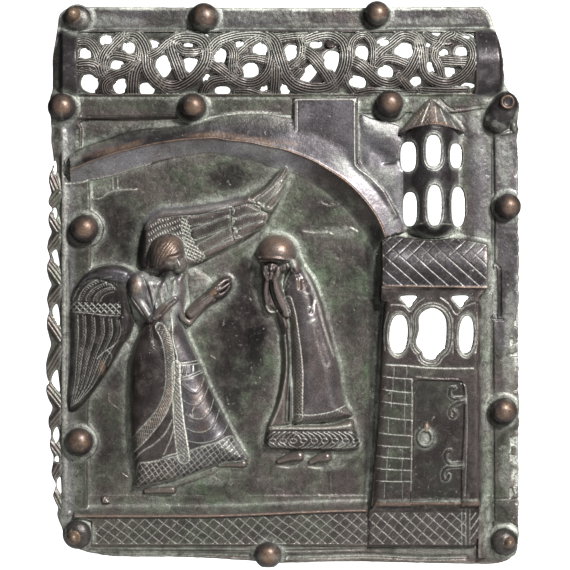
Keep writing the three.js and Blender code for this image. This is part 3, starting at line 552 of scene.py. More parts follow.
# ------------------------------------------------------------------ pier and spandrel
pier = [(294, 98.5), (357, 98), (357.5, 158), (362, 168), (385, 192), (398, 216), (385, 230), (372, 208), (355, 188.5), (335, 172.5), (312, 159.5), (294, 152.5)]
sl, sd = sdf(np.array(pier, float), 4)
z = np.where(sd > -0.6, PIER_H * 1.0 - 1.2 * (1 - np.clip(sd / 1.4, 0, 1)) ** 2 + 0.25 * n12[sl], -9)
H[sl] = smax(H[sl], z.astype(F), 0.8)
PLAIN[sl] = np.maximum(PLAIN[sl], smoothstep(sd / 1.5)).astype(F)
stroke([(297.4, 101), (297.6, 131)], 1.4, -1.2, 0.55)
stroke([(291.5, 104), (295, 100.6), (300, 99.6), (330, 99.4), (352, 99.6), (356.5, 103)], 1.4, 0.5, 0.6, smooth=False)
stroke([(354.3, 102), (354.6, 158), (356.6, 167), (363.6, 173), (373.7, 180.4), (383.8, 191.7)], 1.3, 0.7, 0.75)
stroke([(356.3, 104), (356.6, 158), (358.6, 166), (365.2, 171.8), (375.2, 179), (385.4, 190.4)], 1.5, -1.5)
stroke([(358.6, 103), (358.8, 156)], 1.3, 0.4, 0.45)
span = spline([(359, 118), (372, 119), (398, 126), (404, 135), (403, 180), (403, 225), (395, 236), (390, 226), (388, 205), (380, 188), (368, 175), (360, 166)], closed=True)
sl, sd = bulge(span, SPAN_H - 1.0, 14, base=8.5, power=0.7, k=4)
PLAIN[sl] = np.maximum(PLAIN[sl], smoothstep((sd + 3) / 4)).astype(F)
paint(PLAIN, [(470, 122), (482, 118), (488, 122), (488, 200), (488, 236), (474, 238), (470, 180)], 0.75, 7.0)
stroke([(479, 120), (480, 170), (479, 240)], 18, 1.6, smooth=False)
# a shallow cast fold runs down to the left windows
stroke([(364, 120), (376, 131), (388, 139), (398, 146)], 15, 0.9)
stroke([(370, 146), (380, 153), (390, 158)], 13, -1.1)
stroke([(384, 162.5), (392, 161.5), (399, 160)], 4.5, -0.9)
stroke([(366, 165), (380, 174), (396, 176)], 13, 0.7)
paint(GROOVE_AND_SHADE, [(379, 165.5), (386, 162), (394, 160.5), (400.5, 158), (401, 163.5), (392, 165.5)], 0.75, 2.2)
paint(DARK_AND_SHADE, [(370, 142), (380, 143), (394, 152), (400, 160), (384, 166), (372, 158)], 0.5, 6.0)

# ------------------------------------------------------------------ tower drum
EAVE = spline([(399.6, 133.8), (406.5, 131.2), (412.5, 128.8), (418.5, 127.0), (428.7, 125.3), (436, 125.4), (443.2, 126.4), (453.4, 129.3), (462.9, 132.8)])
drum_mid, drum_half = 431.0, 27.5
sl = win(392, 474, 120, 244)
u, v = U[sl], V[sl]
eave_v = np.interp(u[:, 0], EAVE[:, 0], EAVE[:, 1])[:, None] * np.ones_like(v)
x = (u - drum_mid) / drum_half
shell = SHEET_H + 2.5 + (DRUM_H - SHEET_H - 2.5) * np.maximum(1 - x * x, 0) ** 0.72
foot = np.sqrt(np.maximum(1 - ((u - 434) / 21.5) ** 2, 0))
v_b = 229.0 + 8.5 * foot
tuck = np.clip((v - 225.0) / np.maximum(v_b - 225.0, 1), 0, 1)
shell = shell - (shell - 11.0) * tuck ** 1.4 - (shell - SHEET_H) * (1 - foot) * smoothstep((v - 220.5) / 9)
ok = (np.abs(x) < 1) & (v > eave_v - 1.5) & (v < v_b + 1)
H[sl] = np.where(ok, smax(H[sl], shell, 5.0), H[sl])
core = smoothstep((25.0 - np.abs(u - 431.0)) / 7.0) * smoothstep((v - eave_v) / 1.5) * smoothstep((v_b - v) / 1.5)
DARK_AND_SHADE[sl] = np.maximum(DARK_AND_SHADE[sl], core * 0.95).astype(F)
PLAIN[sl] = np.maximum(PLAIN[sl], smoothstep((1.15 - np.abs(x)) / 0.2) * smoothstep((v - eave_v) / 1.5) * smoothstep((v_b - v) / 1.5) * 0.85).astype(F)
# painted shade on the drum just under the eave
GROOVE_AND_SHADE[sl] = np.maximum(GROOVE_AND_SHADE[sl], 0.5 * smoothstep((0.9 - np.abs(x)) / 0.15) * smoothstep((v - eave_v) / 0.8) * smoothstep((eave_v + 7 - v) / 5)).astype(F)
stroke([(415, 224.4), (421, 224.0)], 1.2, 0.5, 0.5, smooth=False)
stroke([(441, 224.2), (451, 224.6)], 1.2, 0.5, 0.5, smooth=False)

WINDOWS = [(408, 157, 7.4, 14.8, 1), (432.5, 151.6, 7.3, 15.6, 3), (455.8, 156, 6.2, 12.2, 1),
           (409.6, 209.3, 6.6, 16.8, 1), (433.6, 205.8, 7.0, 20.0, 3), (458.0, 206.8, 7.0, 19.6, 1)]
for (u_, v_, ru, rv, rings) in WINDOWS:
    opening(u_, v_, ru, rv, 0, 2.7)
    for off, dep, ch_ in ((2.2, -0.6, 0.38), (4.0, -0.35, 0.10))[:max(1, rings - 1)]:
        a = np.linspace(0, 2 * np.pi, 40)
        c = lambda t: np.sign(t) * np.abs(t) ** 0.8
        stroke(np.stack([u_ + (ru + off) * c(np.cos(a)), v_ - 0.5 + (rv + off) * c(np.sin(a))], -1), 1.0, dep * (1 if rings > 1 else 0.5),
               ch_ * (1 if rings > 1 else 0.5), smooth=False)

# ------------------------------------------------------------------ cone roof over the drum
sl = win(394, 470, 96, 138)
u, v = U[sl], V[sl]
eave = np.interp(u[:, 0], EAVE[:, 0], EAVE[:, 1])[:, None] * np.ones_like(v)
vv = np.clip((v - 100.0) / 33.5, 0, 1)
rad = 1.5 + 31.5 * vv ** 0.86
xx = (u - 430.0 - 1.3 * vv) / rad
cone_h = 9.0 + (5 + 18.5 * vv) * np.sqrt(np.maximum(1 - np.abs(xx) ** 1.8, 0))
ok = (np.abs(xx) < 1) & (v < eave) & (v > 99.5)
H[sl] = np.where(ok, smax(H[sl], cone_h, 1.5), H[sl])
under = (v >= eave) & (v < eave + 9) & (u > 396) & (u < 468)
ROOF_R = np.zeros(U.shape, F)
ROOF_R[sl] = np.where(ok, smoothstep((1 - np.abs(xx)) / 0.1), 0)
stroke([(399.6, 134.6), (406.5, 132), (412.5, 129.6), (418.5, 127.8), (428.7, 126.1), (443.2, 127.2), (453.4, 130.1), (463.5, 133.8)], 1.6, -1.4)
for P, ch_ in (([(429.2, 104), (425.5, 113), (420.7, 125.2)], 1.0), ([(434.5, 107.5), (436.2, 123)], 0.8), ([(440, 109), (445.5, 125)], 0.8),
               ([(447, 113), (454.8, 128)], 0.75), ([(452, 118), (459, 129)], 0.5), ([(423.5, 110), (413.5, 125.5)], 0.35), ([(418, 116), (406, 129.5)], 0.3)):
    stroke(P, 1.1, -0.6, ch_, region=ROOF_R)
sl = win(398, 466, 98, 136)
ang = np.arctan2(U[sl] - 430.5, V[sl] - 90.0)
lines(sl, (V[sl] + 9 * np.abs(((ang * 9) % 1.0) - 0.5)) * 1.0, 4.6, 0.8, 0.4, ROOF_R[sl] * (0.3 + 0.6 * (U[sl] < 428)), 0.42)
s_ = win(410, 462, 112, 132)
ev_ = np.interp(U[s_][:, 0], EAVE[:, 0], EAVE[:, 1])[:, None]
# copper along the eave's lip and a patch above it: edge wear and a painted highlight
WEAR_AND_HIGHLIGHT[s_] = np.maximum(WEAR_AND_HIGHLIGHT[s_], (0.95 * np.exp(-(((V[s_] - ev_ + 1.6) / 1.8) ** 2)) * smoothstep((U[s_] - 420) / 6) * smoothstep((450 - U[s_]) / 8) * (V[s_] < ev_)).astype(F))
WEAR_AND_HIGHLIGHT[s_] = np.maximum(WEAR_AND_HIGHLIGHT[s_], (0.5 * np.exp(-(((U[s_] - 424) / 10) ** 2 + ((V[s_] - 120) / 6) ** 2)) * (V[s_] < ev_)).astype(F))
PLAIN[s_] = np.maximum(PLAIN[s_], 0.6 * ROOF_R[s_] * (U[s_] > 420)).astype(F)

paint(DARK_AND_SHADE, [(437, 100), (452, 112), (468, 128), (473, 137), (466, 137), (452, 124), (438, 110)], 0.7, 2.0)

# ------------------------------------------------------------------ lean-to roof
LT = np.array([(381.5, 233), (392, 236), (412, 238.5), (432, 240.5), (455, 238), (468, 240), (480, 242.5), (487, 244), (487.5, 289), (430, 288), (381, 287)], float)
sl, sd = sdf(LT, 4)
t = np.clip((V[sl] - 236) / 51.0, 0, 1)
z = 12.5 + 13.5 * (1 - (1 - t) ** 3) - 2.5 * (1 - np.clip((U[sl] - 380) / 9, 0, 1)) ** 2 - 1.0 * (1 - np.clip((488 - U[sl]) / 5, 0, 1)) ** 2
z = np.where(sd > 0, z - 1.2 * (1 - np.clip(sd / 1.5, 0, 1)) ** 2, -9)
H[sl] = np.maximum(H[sl], z.astype(F))
NET = np.zeros(U.shape, F)
NET[sl] = (sd > 1.5) * 1.0
dr = 16.5
lines(sl, (V[sl] - 243 - 0.90 * (U[sl] - 385)) / math.hypot(1, 0.90) + 0.8 * n30[sl], 10.3, 0.65, 0.42, NET[sl] * 1.0, 0.24)
cross = np.maximum(smoothstep((256 + 10 * (U[sl] < 420) - V[sl]) / 8) * (smoothstep((432 - U[sl]) / 6) + smoothstep((U[sl] - 448) / 6)), 0.22)
lines(sl, (V[sl] - 243 + 0.95 * (U[sl] - 385)) / math.hypot(1, 0.95) + 0.8 * n30[sl], 8.9, 0.65, 0.32, NET[sl] * np.clip(cross, 0, 1), 0.20)
PLAIN[sl] = np.maximum(PLAIN[sl], NET[sl]).astype(F)
# painted highlight: the roof's skin is kept pale at the gleam on the upper right and at the saddle, dark elsewhere
painted_gleam = np.maximum(smoothstep(1.3 - np.hypot((U[sl] - 477 - 0.35 * (V[sl] - 250)) / 12, (V[sl] - 252 - 0.25 * (U[sl] - 477)) / 8)),
                   0.8 * smoothstep(1.3 - np.hypot((U[sl] - 445) / 8, (V[sl] - 241) / 4)))
DARK_AND_SHADE[sl] = np.maximum(DARK_AND_SHADE[sl], NET[sl] * (0.95 - 0.9 * painted_gleam - 0.25 * smoothstep((400 - U[sl]) / 14))).astype(F)
stroke([(383, 286.2), (430, 287), (485, 287.6)], 2.0, 0.6)
for P, a_ in (([(383, 286.0), (430, 286.8), (486, 287.2)], 0.6), ([(487.0, 247), (487.2, 286)], 0.6)):
    s_, d, T, S, L = near(P, 3)
    WEAR_AND_HIGHLIGHT[s_] = np.maximum(WEAR_AND_HIGHLIGHT[s_], (a_ * np.exp(-((d / 0.9) ** 2))).astype(F))
# underside of the eaves falls back to the arcade wall
sl = win(378, 490, 287, 301)
t = np.clip((V[sl] - 288.5) / 9.0, 0, 1)
z = np.where((U[sl] > 380) & (U[sl] < 486 - 8 * t), 25.0 - (25.0 - TOWER_H) * t ** 0.6, -9)
H[sl] = np.maximum(H[sl], z.astype(F))

# ------------------------------------------------------------------ lower tower wall
TW = np.array([(386, 292), (430, 292), (472, 292), (475.5, 297), (477, 400), (478, 506), (420, 506), (370.5, 506), (373, 478), (376.5, 440), (379, 400), (381.5, 350),
               (384, 310)], float)
sl, sd = sdf(TW, 12)
left_round = 1 - np.clip((U[sl] - (384 - (V[sl] - 300) * 0.055)) / 7.0, 0, 1)
DARK_AND_SHADE[sl] = np.maximum(DARK_AND_SHADE[sl], 0.6 * smoothstep(sd)).astype(F)
z = np.where(sd > 0, TOWER_H - 4.5 * left_round ** 2 - 2.0 * (1 - np.clip((479 - U[sl]) / 6, 0, 1)) ** 2 + 0.25 * n30[sl] + 0.1 * n5[sl], -9)
H[sl] = np.maximum(H[sl], z.astype(F))
sl = win(476, 492, 290, 500)  # the fillet that carries the wall down to the field on its right
t = np.clip((U[sl] - 477) / 13.0, 0, 1)
z = SHEET_H + 1.5 + (TOWER_H - 4.0 - SHEET_H) * (1 - t) ** 1.8
H[sl] = np.maximum(H[sl], np.where((V[sl] < 560) & (V[sl] > 292), z, -9).astype(F))

ARC = [(398.5, 334, 9.3, 19.3), (466, 334.5, 7.6, 18.8)]
for (u_, v_, ru, rv) in ARC:
    opening(u_, v_, ru, rv, 4, 2.3)
    for off, dep, ch_ in ((1.9, -0.6, 0.5), (4.0, -0.35, 0.15)):
        a = np.linspace(0, 2 * np.pi, 44)
        stroke(np.stack([u_ + (ru + off) * np.cos(a), v_ + (rv + off) * np.sin(a)], -1), 1.0, dep, ch_, smooth=False)
CENTRE = [(432, 308), (441, 311.5), (446, 320), (446.5, 335), (444.5, 347), (440, 352), (437, 355), (434, 359.3), (428, 359.3), (423.5, 356.5), (421.5, 351),
          (417.5, 347), (415.8, 341), (418.5, 330), (418.5, 318), (423, 311.5)]
opening_poly(CENTRE)
for off, dep in ((3.0, -0.7), (5.6, -0.3)):
    sl, sd = sdf(spline(CENTRE, closed=True), 12)
    g = np.exp(-(((-sd - off) / 0.7) ** 2)) * (sd < 0)
    H[sl] += (dep * g).astype(F)
    CHALK_AND_HIGHLIGHT[sl] = np.maximum(CHALK_AND_HIGHLIGHT[sl], (0.3 * g).astype(F))
for u_ in (408.5, 459.8):
    opening_poly([(u_ - 8, 296.5), (u_ + 8, 296), (u_ + 4.5, 302), (u_ + 0.5, 307.5), (u_ - 4.5, 302.5)])
for P in ([(391, 304.5), (403, 305), (410, 311), (417, 303), (424, 298)], [(440, 297), (448, 303), (456, 314), (464, 307), (474, 302.5)],
          [(388, 312), (384, 330), (385, 350)], [(476, 312), (477, 335), (475, 352)], [(411, 316), (411, 345)], [(452.5, 318), (452.5, 352)]):
    stroke(P, 1.1, -0.7, 0.45)
stroke([(386, 364.2), (405, 365), (430, 367.2), (455, 367.8), (473, 367.5)], 1.2, -0.7, 0.62)
rows = [(376, 378.5), (388.8, 392.2), (401, 404), (416, 419.5), (432.3, 435), (444.6, 446.4), (455.5, 458), (467.6, 469.6), (480, 480.5)]
lefts = [383, 382.5, 382, 380.5, 379, 378, 377, 376.5, 376]
for (a, b), l in zip(rows, lefts):
    stroke([(l, a), ((l + 412) / 2, (a + b) / 2 + 0.3), (412, b)], 0.8, -0.5, 0.46)
vert = [(394, 366, 377), (406.8, 366, 378), (393, 378, 390), (405, 379, 391), (391.5, 392, 406), (405, 393, 402), (404.5, 406, 417), (388.5, 419, 432), (405, 420, 433),
        (388, 448, 456), (402.5, 448, 457), (386.8, 458, 468), (402, 459, 469), (386.5, 470, 480), (401.5, 470, 481), (384.5, 482, 496), (402.6, 482, 496)]
for u_, a, b in vert:
    stroke([(u_, a), (u_ - 0.4, b)], 0.75, -0.4, 0.34)

# door: sunk leaf in a raised frame, scroll hinges, ring on its staple
door = spline([(413.5, 381), (436, 380), (459, 380.5), (462.5, 384), (464, 395), (463.5, 430), (461, 470), (459.5, 508), (436, 510), (411, 508), (412.2, 470), (412.6, 440), (413.8, 400)], closed=True, n=60)
sl, sd = sdf(door, 5)
H[sl] -= (1.9 * smoothstep((sd + 0.5) / 1.6)).astype(F)
DARK_AND_SHADE[sl] = np.maximum(DARK_AND_SHADE[sl], 0.85 * smoothstep(sd)).astype(F)
stroke([(415, 377.2), (436, 379), (457, 379.5)], 1.8, 0.5)
stroke([(461, 382.5), (465.5, 388), (466.8, 420), (465.5, 470), (464.5, 494)], 1.6, -0.7, 0.25)
stroke([(411.6, 380), (411.3, 430), (410.6, 490)], 1.2, 0.3, 0.45)
door_h = TOWER_H - 1.9


def strap_scroll(P, w=1.7, up=1.5):
    sl, d, T, S, L = near(spline(P), 5)
    z = door_h + up * np.sqrt(np.maximum(1 - (d / w) ** 2, 0))
    H[sl] = np.where(d < w, np.maximum(H[sl], z), H[sl])
    g = np.exp(-(((d - w) / 0.8) ** 2))
    DUST_AND_HIGHLIGHT[sl] = np.maximum(DUST_AND_HIGHLIGHT[sl], (0.75 * g * (d > w * 0.8)).astype(F))


strap_scroll([(464, 397.5), (456, 398.3), (451, 397), (449, 392.5), (450.5, 388), (454, 387.3)])
strap_scroll([(464, 400), (457, 402.5), (452, 406), (449, 411), (450, 415.5), (453.5, 416.5), (455.5, 412.5), (453, 410)])
strap_scroll([(461.5, 462.5), (452, 463.5), (446.5, 460.5), (444.5, 455), (446.5, 450.8), (450, 450)])
strap_scroll([(461.5, 465.5), (450, 466), (444.5, 468.5), (442, 473.5), (443.5, 478.5), (447, 478.5), (448.5, 474.5)])
a = np.linspace(0, 2 * np.pi, 40)
ring = np.stack([424.8 + 7.0 * np.cos(a), 437 + 8.0 * np.sin(a)], -1)
sl, d, *_ = near(ring, 5)
H[sl] = np.maximum(H[sl], np.where(d < 2.0, door_h + 0.4 + 2.0 * np.sqrt(np.maximum(1 - (d / 2.0) ** 2, 0)), -9))
CHALK_AND_HIGHLIGHT[sl] = np.maximum(CHALK_AND_HIGHLIGHT[sl], (0.4 * np.exp(-((U[sl] - 425.5) ** 2 / 10 + (V[sl] - 439) ** 2 / 12))).astype(F))
DUST_AND_HIGHLIGHT[sl] = np.maximum(DUST_AND_HIGHLIGHT[sl], (0.6 * smoothstep((13.5 - np.hypot(U[sl] - 425, (V[sl] - 437) * 0.9)) / 5)).astype(F))
s_, q = dome(426, 427, 3.0, 5.0, door_h, door_h + 3.4, k=0.6)
WEAR_AND_HIGHLIGHT[s_] = np.maximum(WEAR_AND_HIGHLIGHT[s_], (0.9 * (q < 1)).astype(F))

# ------------------------------------------------------------------ base blocks with ledges and chased nets
BL = np.array([(76, 511), (84, 507), (110, 507), (200, 503), (300, 500), (366, 496), (366, 546), (230, 547), (97, 546), (96, 534), (104, 524), (96, 519), (76, 518.5)], float)
nose_v = lambda u: 515.2 - 5.5 * smoothstep((u - 190) / 180)
sl = win(74, 368, 496, 550)
u, v = U[sl], V[sl]
nv_ = nose_v(u)
top_t = np.clip((v - (nv_ - 10.5)) / 11.0, 0, 1)
z = SHEET_H + 0.3 + (15.6 - SHEET_H) * top_t ** 1.5
z = np.where(v > nv_ + 0.6, 15.6 - 0.2 * (v - nv_), z)
z = np.where(v > nv_ + 2.0, 13.4 - 0.04 * (v - nv_), z)
DUST_AND_HIGHLIGHT[sl] = np.maximum(DUST_AND_HIGHLIGHT[sl], 0.28 * smoothstep((v - nv_ + 10) / 4) * smoothstep((nv_ - 1.2 - v) / 2) * (u < 367) * np.clip(0.7 + 0.5 * n12[sl], 0, 1)).astype(F)
WEAR_AND_HIGHLIGHT[sl] = np.maximum(WEAR_AND_HIGHLIGHT[sl], 0.85 * np.exp(-(((v - nv_ - 0.6) / 0.9) ** 2)) * (u < 367) * (u > 78)).astype(F)
DARK_AND_SHADE[sl] = np.maximum(DARK_AND_SHADE[sl], 0.45 * smoothstep((v - nv_ - 1.5) / 1) * smoothstep((544 - v) / 1) * (u < 367) * (u > 97)).astype(F)
z = np.where(v > 543.5, 13.0 - (v - 543.5) * 1.1, z)
edge_l = smoothstep((u - 72 - 18 * smoothstep((v - 517) / 4)) / 2.5)
z = np.where((u < 367) & (v < 549), SHEET_H + (z - SHEET_H) * edge_l, -9)
H[sl] = np.maximum(H[sl], z.astype(F))
reg = np.zeros(U.shape, F)
reg[sl] = ((v > nv_ + 3.2) & (v < 543.5) & (u > 96 + np.maximum(530 - v, 0) * 0.9) & (u < 367)) * 1.0
lines(sl, (v - 541 + 1.02 * (u - 100)) / math.hypot(1, 1.02) + 1.0 * n30[sl] + 0.4 * n12[sl], 8.3, 0.7, 0.45, reg[sl], 0.44)
lines(sl, (v - 520 - 0.78 * (u - 107)) / math.hypot(1, 0.78) + 1.0 * n30[sl] - 0.4 * n12[sl], 8.3, 0.7, 0.40, reg[sl], 0.36)
for off in (545.3, 547.6, 550.6):
    stroke([(92, off), (160, off + 0.4), (260, off + 0.7), (364, off - 1.2)], 1.2, -0.7, 0.15)
stroke([(98, 554), (160, 552.5), (250, 555), (300, 556), (366, 554.5), (420, 557), (466, 556.5)], 4.0, -2.6)

BR = np.array([(377, 499), (400, 498), (440, 497), (479, 498.5), (481, 512), (480.5, 530), (474, 547), (420, 547.5), (367, 546), (365.5, 530), (368, 512)], float)
sl, sd = sdf(BR, 6)
u, v = U[sl], V[sl]
z = np.where(v < 502.6, 12.5 + (20.0 - 12.5) * np.clip((v - 496) / 6.0, 0, 1) ** 0.8, 20.0 - 0.45 * (v - 503))
z = np.where(v > 511.3, 15.8 - 0.03 * (v - 511), z)
z = np.where(v > 544, 15 - (v - 544) * 1.4, z)
DUST_AND_HIGHLIGHT[sl] = np.maximum(DUST_AND_HIGHLIGHT[sl], 0.6 * smoothstep((v - 495.5) / 2) * smoothstep((502 - v) / 1.5) * (sd > 0) * np.clip(0.75 + 0.5 * n12[sl], 0, 1)).astype(F)
WEAR_AND_HIGHLIGHT[sl] = np.maximum(WEAR_AND_HIGHLIGHT[sl], 0.8 * np.exp(-(((v - 503.2) / 0.9) ** 2)) * (sd > 0)).astype(F)
WEAR_AND_HIGHLIGHT[sl] = np.maximum(WEAR_AND_HIGHLIGHT[sl], 0.45 * np.exp(-((sd - 1.0) / 1.0) ** 2) * (u > 470) * (v < 530)).astype(F)
DARK_AND_SHADE[sl] = np.maximum(DARK_AND_SHADE[sl], 0.6 * smoothstep((v - 503.5) / 1) * smoothstep(sd)).astype(F)
z = z - 3.2 * (1 - np.clip((u - (367 + np.maximum(510 - v, 0) * 0.9)) / 5.0, 0, 1)) ** 2 - 3.5 * (1 - np.clip((481 - u) / 9.0, 0, 1)) ** 2
H[sl] = np.where(sd > 0, np.maximum(H[sl], z), H[sl])
reg[sl] = ((sd > 2.0) & (v > 512.5) & (v < 543.5)) * 1.0
lines(sl, (v - 513 - 0.9 * (u - 376)) / math.hypot(1, 0.9) + 0.5 * n30[sl], 8.5, 0.7, 0.45, reg[sl] * (u < 466), 0.42)
lines(sl, (v - 541 + 1.2 * (u - 372)) / math.hypot(1, 1.2) + 0.9 * n30[sl] + 0.4 * n12[sl], 8.2, 0.7, 0.40, reg[sl] * (u < 466), 0.34)
for u_ in (461.5, 465.5, 469.5):
    stroke([(u_, 509), (u_ + 0.2, 546)], 0.9, -0.5, 0.45)
lines(sl, (v - 520 + 1.4 * (u - 470)) / 1.7, 5.5, 0.8, 0.4, reg[sl] * (u > 470), 0.6)
stroke([(373, 545), (420, 546), (470, 544.5)], 1.4, 0.4)
sl = win(478, 493, 496, 562)
t = np.clip((U[sl] - 480) / 11.0, 0, 1)
H[sl] = np.maximum(H[sl], np.where(V[sl] < 558, SHEET_H + 1.5 + 6.5 * (1 - t) ** 1.6, -9).astype(F))
# broken stub left of the winged figure's feet
bulge(np.array([(101, 497.5), (104, 496), (109.5, 496.2), (110.5, 503), (107, 504.5), (101.5, 504)], float), 9.6, 2.2, base=6.5, power=0.8, k=0.6)
stroke([(102, 503), (105.5, 498), (109.5, 502.5)], 1.0, -0.7, 0.4, smooth=False)

# ------------------------------------------------------------------ bosses
BOSS = [(77.5, 18.5, 14, 17.5), (204, 17.5, 14.3, 27), (377, 14, 12.6, 27), (62, 107, 14, 26), (193, 107, 13.6, 27), (389.5, 103.5, 13.8, 27.5),
        (84.5, 229, 14.2, 26.5), (79, 442, 14.2, 25), (77.5, 534, 14.6, 20), (268, 554.5, 13.4, 25.5), (508, 206.5, 12.6, 26),
        (503.5, 411, 13.4, 26), (504, 541.5, 13.5, 21)]
for (u_, v_, r, h) in BOSS:
    sl = win(u_ - r - 8, u_ + r + 8, v_ - r - 8, v_ + r + 8)
    d = np.hypot(U[sl] - u_, V[sl] - v_)
    fil = FLANGE_H + 2.6 * np.clip(1 - (d - r) / 4.5, 0, 1) ** 2
    H[sl] = np.where(d < r + 4.5, smax(H[sl], fil, 1.0), H[sl])
    z = FLANGE_H + (h - FLANGE_H) * np.sqrt(np.maximum(1 - (d / r) ** 2.3, 0))
    H[sl] = np.where(d < r, np.maximum(H[sl], z), H[sl])
    M[sl] = np.maximum(M[sl], r + 0.3 - d)
    CHALK_AND_HIGHLIGHT[sl] = np.where(d < r, CHALK_AND_HIGHLIGHT[sl] * 0, CHALK_AND_HIGHLIGHT[sl])
    # painted cast shadow: black just outside each boss on its lower left, away from the light
    shadow_side = ((V[sl] - v_) - (U[sl] - u_)) / np.maximum(d, 1e-3) / 1.414
    GROOVE_AND_SHADE[sl] = np.maximum(GROOVE_AND_SHADE[sl], 0.85 * np.exp(-((np.maximum(d - r, 0) / 3.2) ** 2)) * (d > r - 0.5) * smoothstep((shadow_side - 0.15) / 0.6)).astype(F)
    DUST_AND_HIGHLIGHT[sl] = np.where(d < r, 0.0 if h > 21 else 0.12, np.maximum(DUST_AND_HIGHLIGHT[sl], 0.9 * np.exp(-((d - r - 2.0) / 2.6) ** 2)))
    if h <= 21:
        DARK_AND_SHADE[sl] = np.where(d < r, 0.85, DARK_AND_SHADE[sl])
    if h > 21:
        # copper on the dome, centred a little up and right: wear and a painted highlight
        off_c = np.hypot(U[sl] - u_ - 0.12 * r, V[sl] - v_ + 0.08 * r)
        WEAR_AND_HIGHLIGHT[sl] = np.where(d < r, np.maximum(0.0, 0.70 * smoothstep((0.98 * r - off_c) / (0.55 * r)) + 0.14 * n5[sl]), WEAR_AND_HIGHLIGHT[sl])
        DARK_AND_SHADE[sl] = np.where(d < r, 0.85, DARK_AND_SHADE[sl])
        PLAIN[sl] = np.where(d < r, 1.0, PLAIN[sl])
SHADE = np.zeros(U.shape, F)
for (u_, v_, r, du_, dv_, a_) in [(84.5, 229, 14.2, -4.5, 5.5, 0.82), (508, 206.5, 12.6, -6.5, 4.5, 0.85), (389.5, 103.5, 13.8, -4.0, 6.5, 0.85), (377, 14, 12.6, -5.0, 3.0, 0.85),
                                  (204, 17.5, 14.3, -2.0, 2.5, 0.6), (193, 107, 13.6, -3.0, 1.5, 0.75), (503.5, 411, 13.4, -4.0, 3.5, 0.8), (62, 107, 14, 1.5, 3.0, 0.5)]:
    sl = win(u_ - 30, u_ + 30, v_ - 30, v_ + 30)
    own = np.hypot(U[sl] - u_, V[sl] - v_)
    d = np.hypot(U[sl] - u_ - du_, V[sl] - v_ - dv_)
    SHADE[sl] = np.maximum(SHADE[sl], a_ * smoothstep((r + 2.0 - d) / 3.0) * smoothstep((own - r + 0.8) / 0.8)).astype(F)
for (u_, v_, r, h) in [(73.2, 15, 8.0, 27.5), (74, 537, 7.0, 28), (508.5, 541.5, 6.0, 28)]:
    s_, q = dome(u_, v_, r, r, FLANGE_H, h, k=1.5, power=2.6)
    WEAR_AND_HIGHLIGHT[s_] = np.maximum(WEAR_AND_HIGHLIGHT[s_], (q < 1) * 1.0)
# the long lug at the right end of the bar
s_, e_, f_ = tube([(497, 121), (501, 112), (505.5, 104)], [13.0, 13.5, 11.5], [9, 13, 17], k=2.0, flat=0.8)
DARK_AND_SHADE[s_] = np.maximum(DARK_AND_SHADE[s_], (e_ < 1) * 0.9)
PLAIN[s_] = np.maximum(PLAIN[s_], (e_ < 1) * 1.0)
sl = win(494, 518, 92, 114)
d = np.hypot(U[sl] - 506.3, V[sl] - 102.9)
H[sl] = np.where(d < 8.5, np.maximum(H[sl], 27.5 + 1.6 * np.exp(-(((d - 5.8) / 1.6) ** 2)) - 6 * np.clip((d - 7.0) / 1.5, 0, 1) ** 2), H[sl])
WEAR_AND_HIGHLIGHT[sl] = np.maximum(WEAR_AND_HIGHLIGHT[sl], (0.75 * np.exp(-(((d - 5.8) / 1.4) ** 2))).astype(F))
SHADE[s_] = np.maximum(SHADE[s_], 0.9 * smoothstep(1.25 - np.hypot((U[s_] - 487.5) / 7.0, (V[s_] - 124) / 17)) * smoothstep((e_ - 0.95) / 0.1)).astype(F)
for (u_, v_, ru, rv, h, t_) in ((513.5, 126.5, 4.2, 7.5, 15.5, -12), (500, 126.5, 6.5, 3.0, 14.5, 20), (506, 133, 8, 3.0, 13, -8), (494, 124, 3.0, 3.5, 12, 0)):
    s_, q = dome(u_, v_, ru, rv, 7, h, turn=t_, k=2.0)
    DUST_AND_HIGHLIGHT[s_] = np.maximum(DUST_AND_HIGHLIGHT[s_], (q < 1) * 0.35)
# painted shadow on the ground to the left of the lug
sl = win(476, 496, 102, 144)
GROOVE_AND_SHADE[sl] = np.maximum(GROOVE_AND_SHADE[sl], (0.85 * smoothstep(1.25 - np.hypot((U[sl] - 486.5) / 6.5, (V[sl] - 124) / 16))).astype(F))
for (u_, v_, r) in ((505.5, 104, 11.5), (502, 112, 13)):
    sl = win(u_ - 20, u_ + 20, v_ - 20, v_ + 20)
    M[sl] = np.maximum(M[sl], r - np.hypot(U[sl] - u_, V[sl] - v_))

# ------------------------------------------------------------------ the winged figure: wings
NETW = np.zeros(U.shape, F)
WING_UP = spline([(139, 268), (138.5, 246), (142, 230), (147, 221), (154, 214.5), (161, 210), (172, 208.5), (184, 207.5), (200, 204.5), (214, 202.5), (228, 200),
                  (241, 197.2), (250, 193.5), (262, 188), (273, 177), (280, 169.5), (286, 165.5), (288.5, 170), (286, 182), (282, 196), (277, 207), (272, 215),
                  (266, 225), (258, 232), (248, 239), (234, 247), (218, 255), (204, 262), (190, 268), (180, 276), (160, 278)], closed=True, n=130)
sl, sd = bulge(WING_UP, 15.5, 8, base=5.5, power=0.55, k=1.2)
wu = np.zeros(U.shape, F)
wu[sl] = (sd > 0) * 1.0
# rolled upper edge, the step between the two feather groups, and the plain lower margin
stroke([(147, 222), (160, 212), (182, 211), (203, 208.5), (224, 205), (240, 200.5), (246, 200)], 7.0, 2.6)
sl, d, T, S, L = near(spline([(145, 226), (150, 218), (160, 211.5), (182, 210), (203, 207.5), (224, 204), (240, 199.5)]), 8)
PLAIN[sl] = np.maximum(PLAIN[sl], smoothstep((6 - d) / 3)).astype(F)
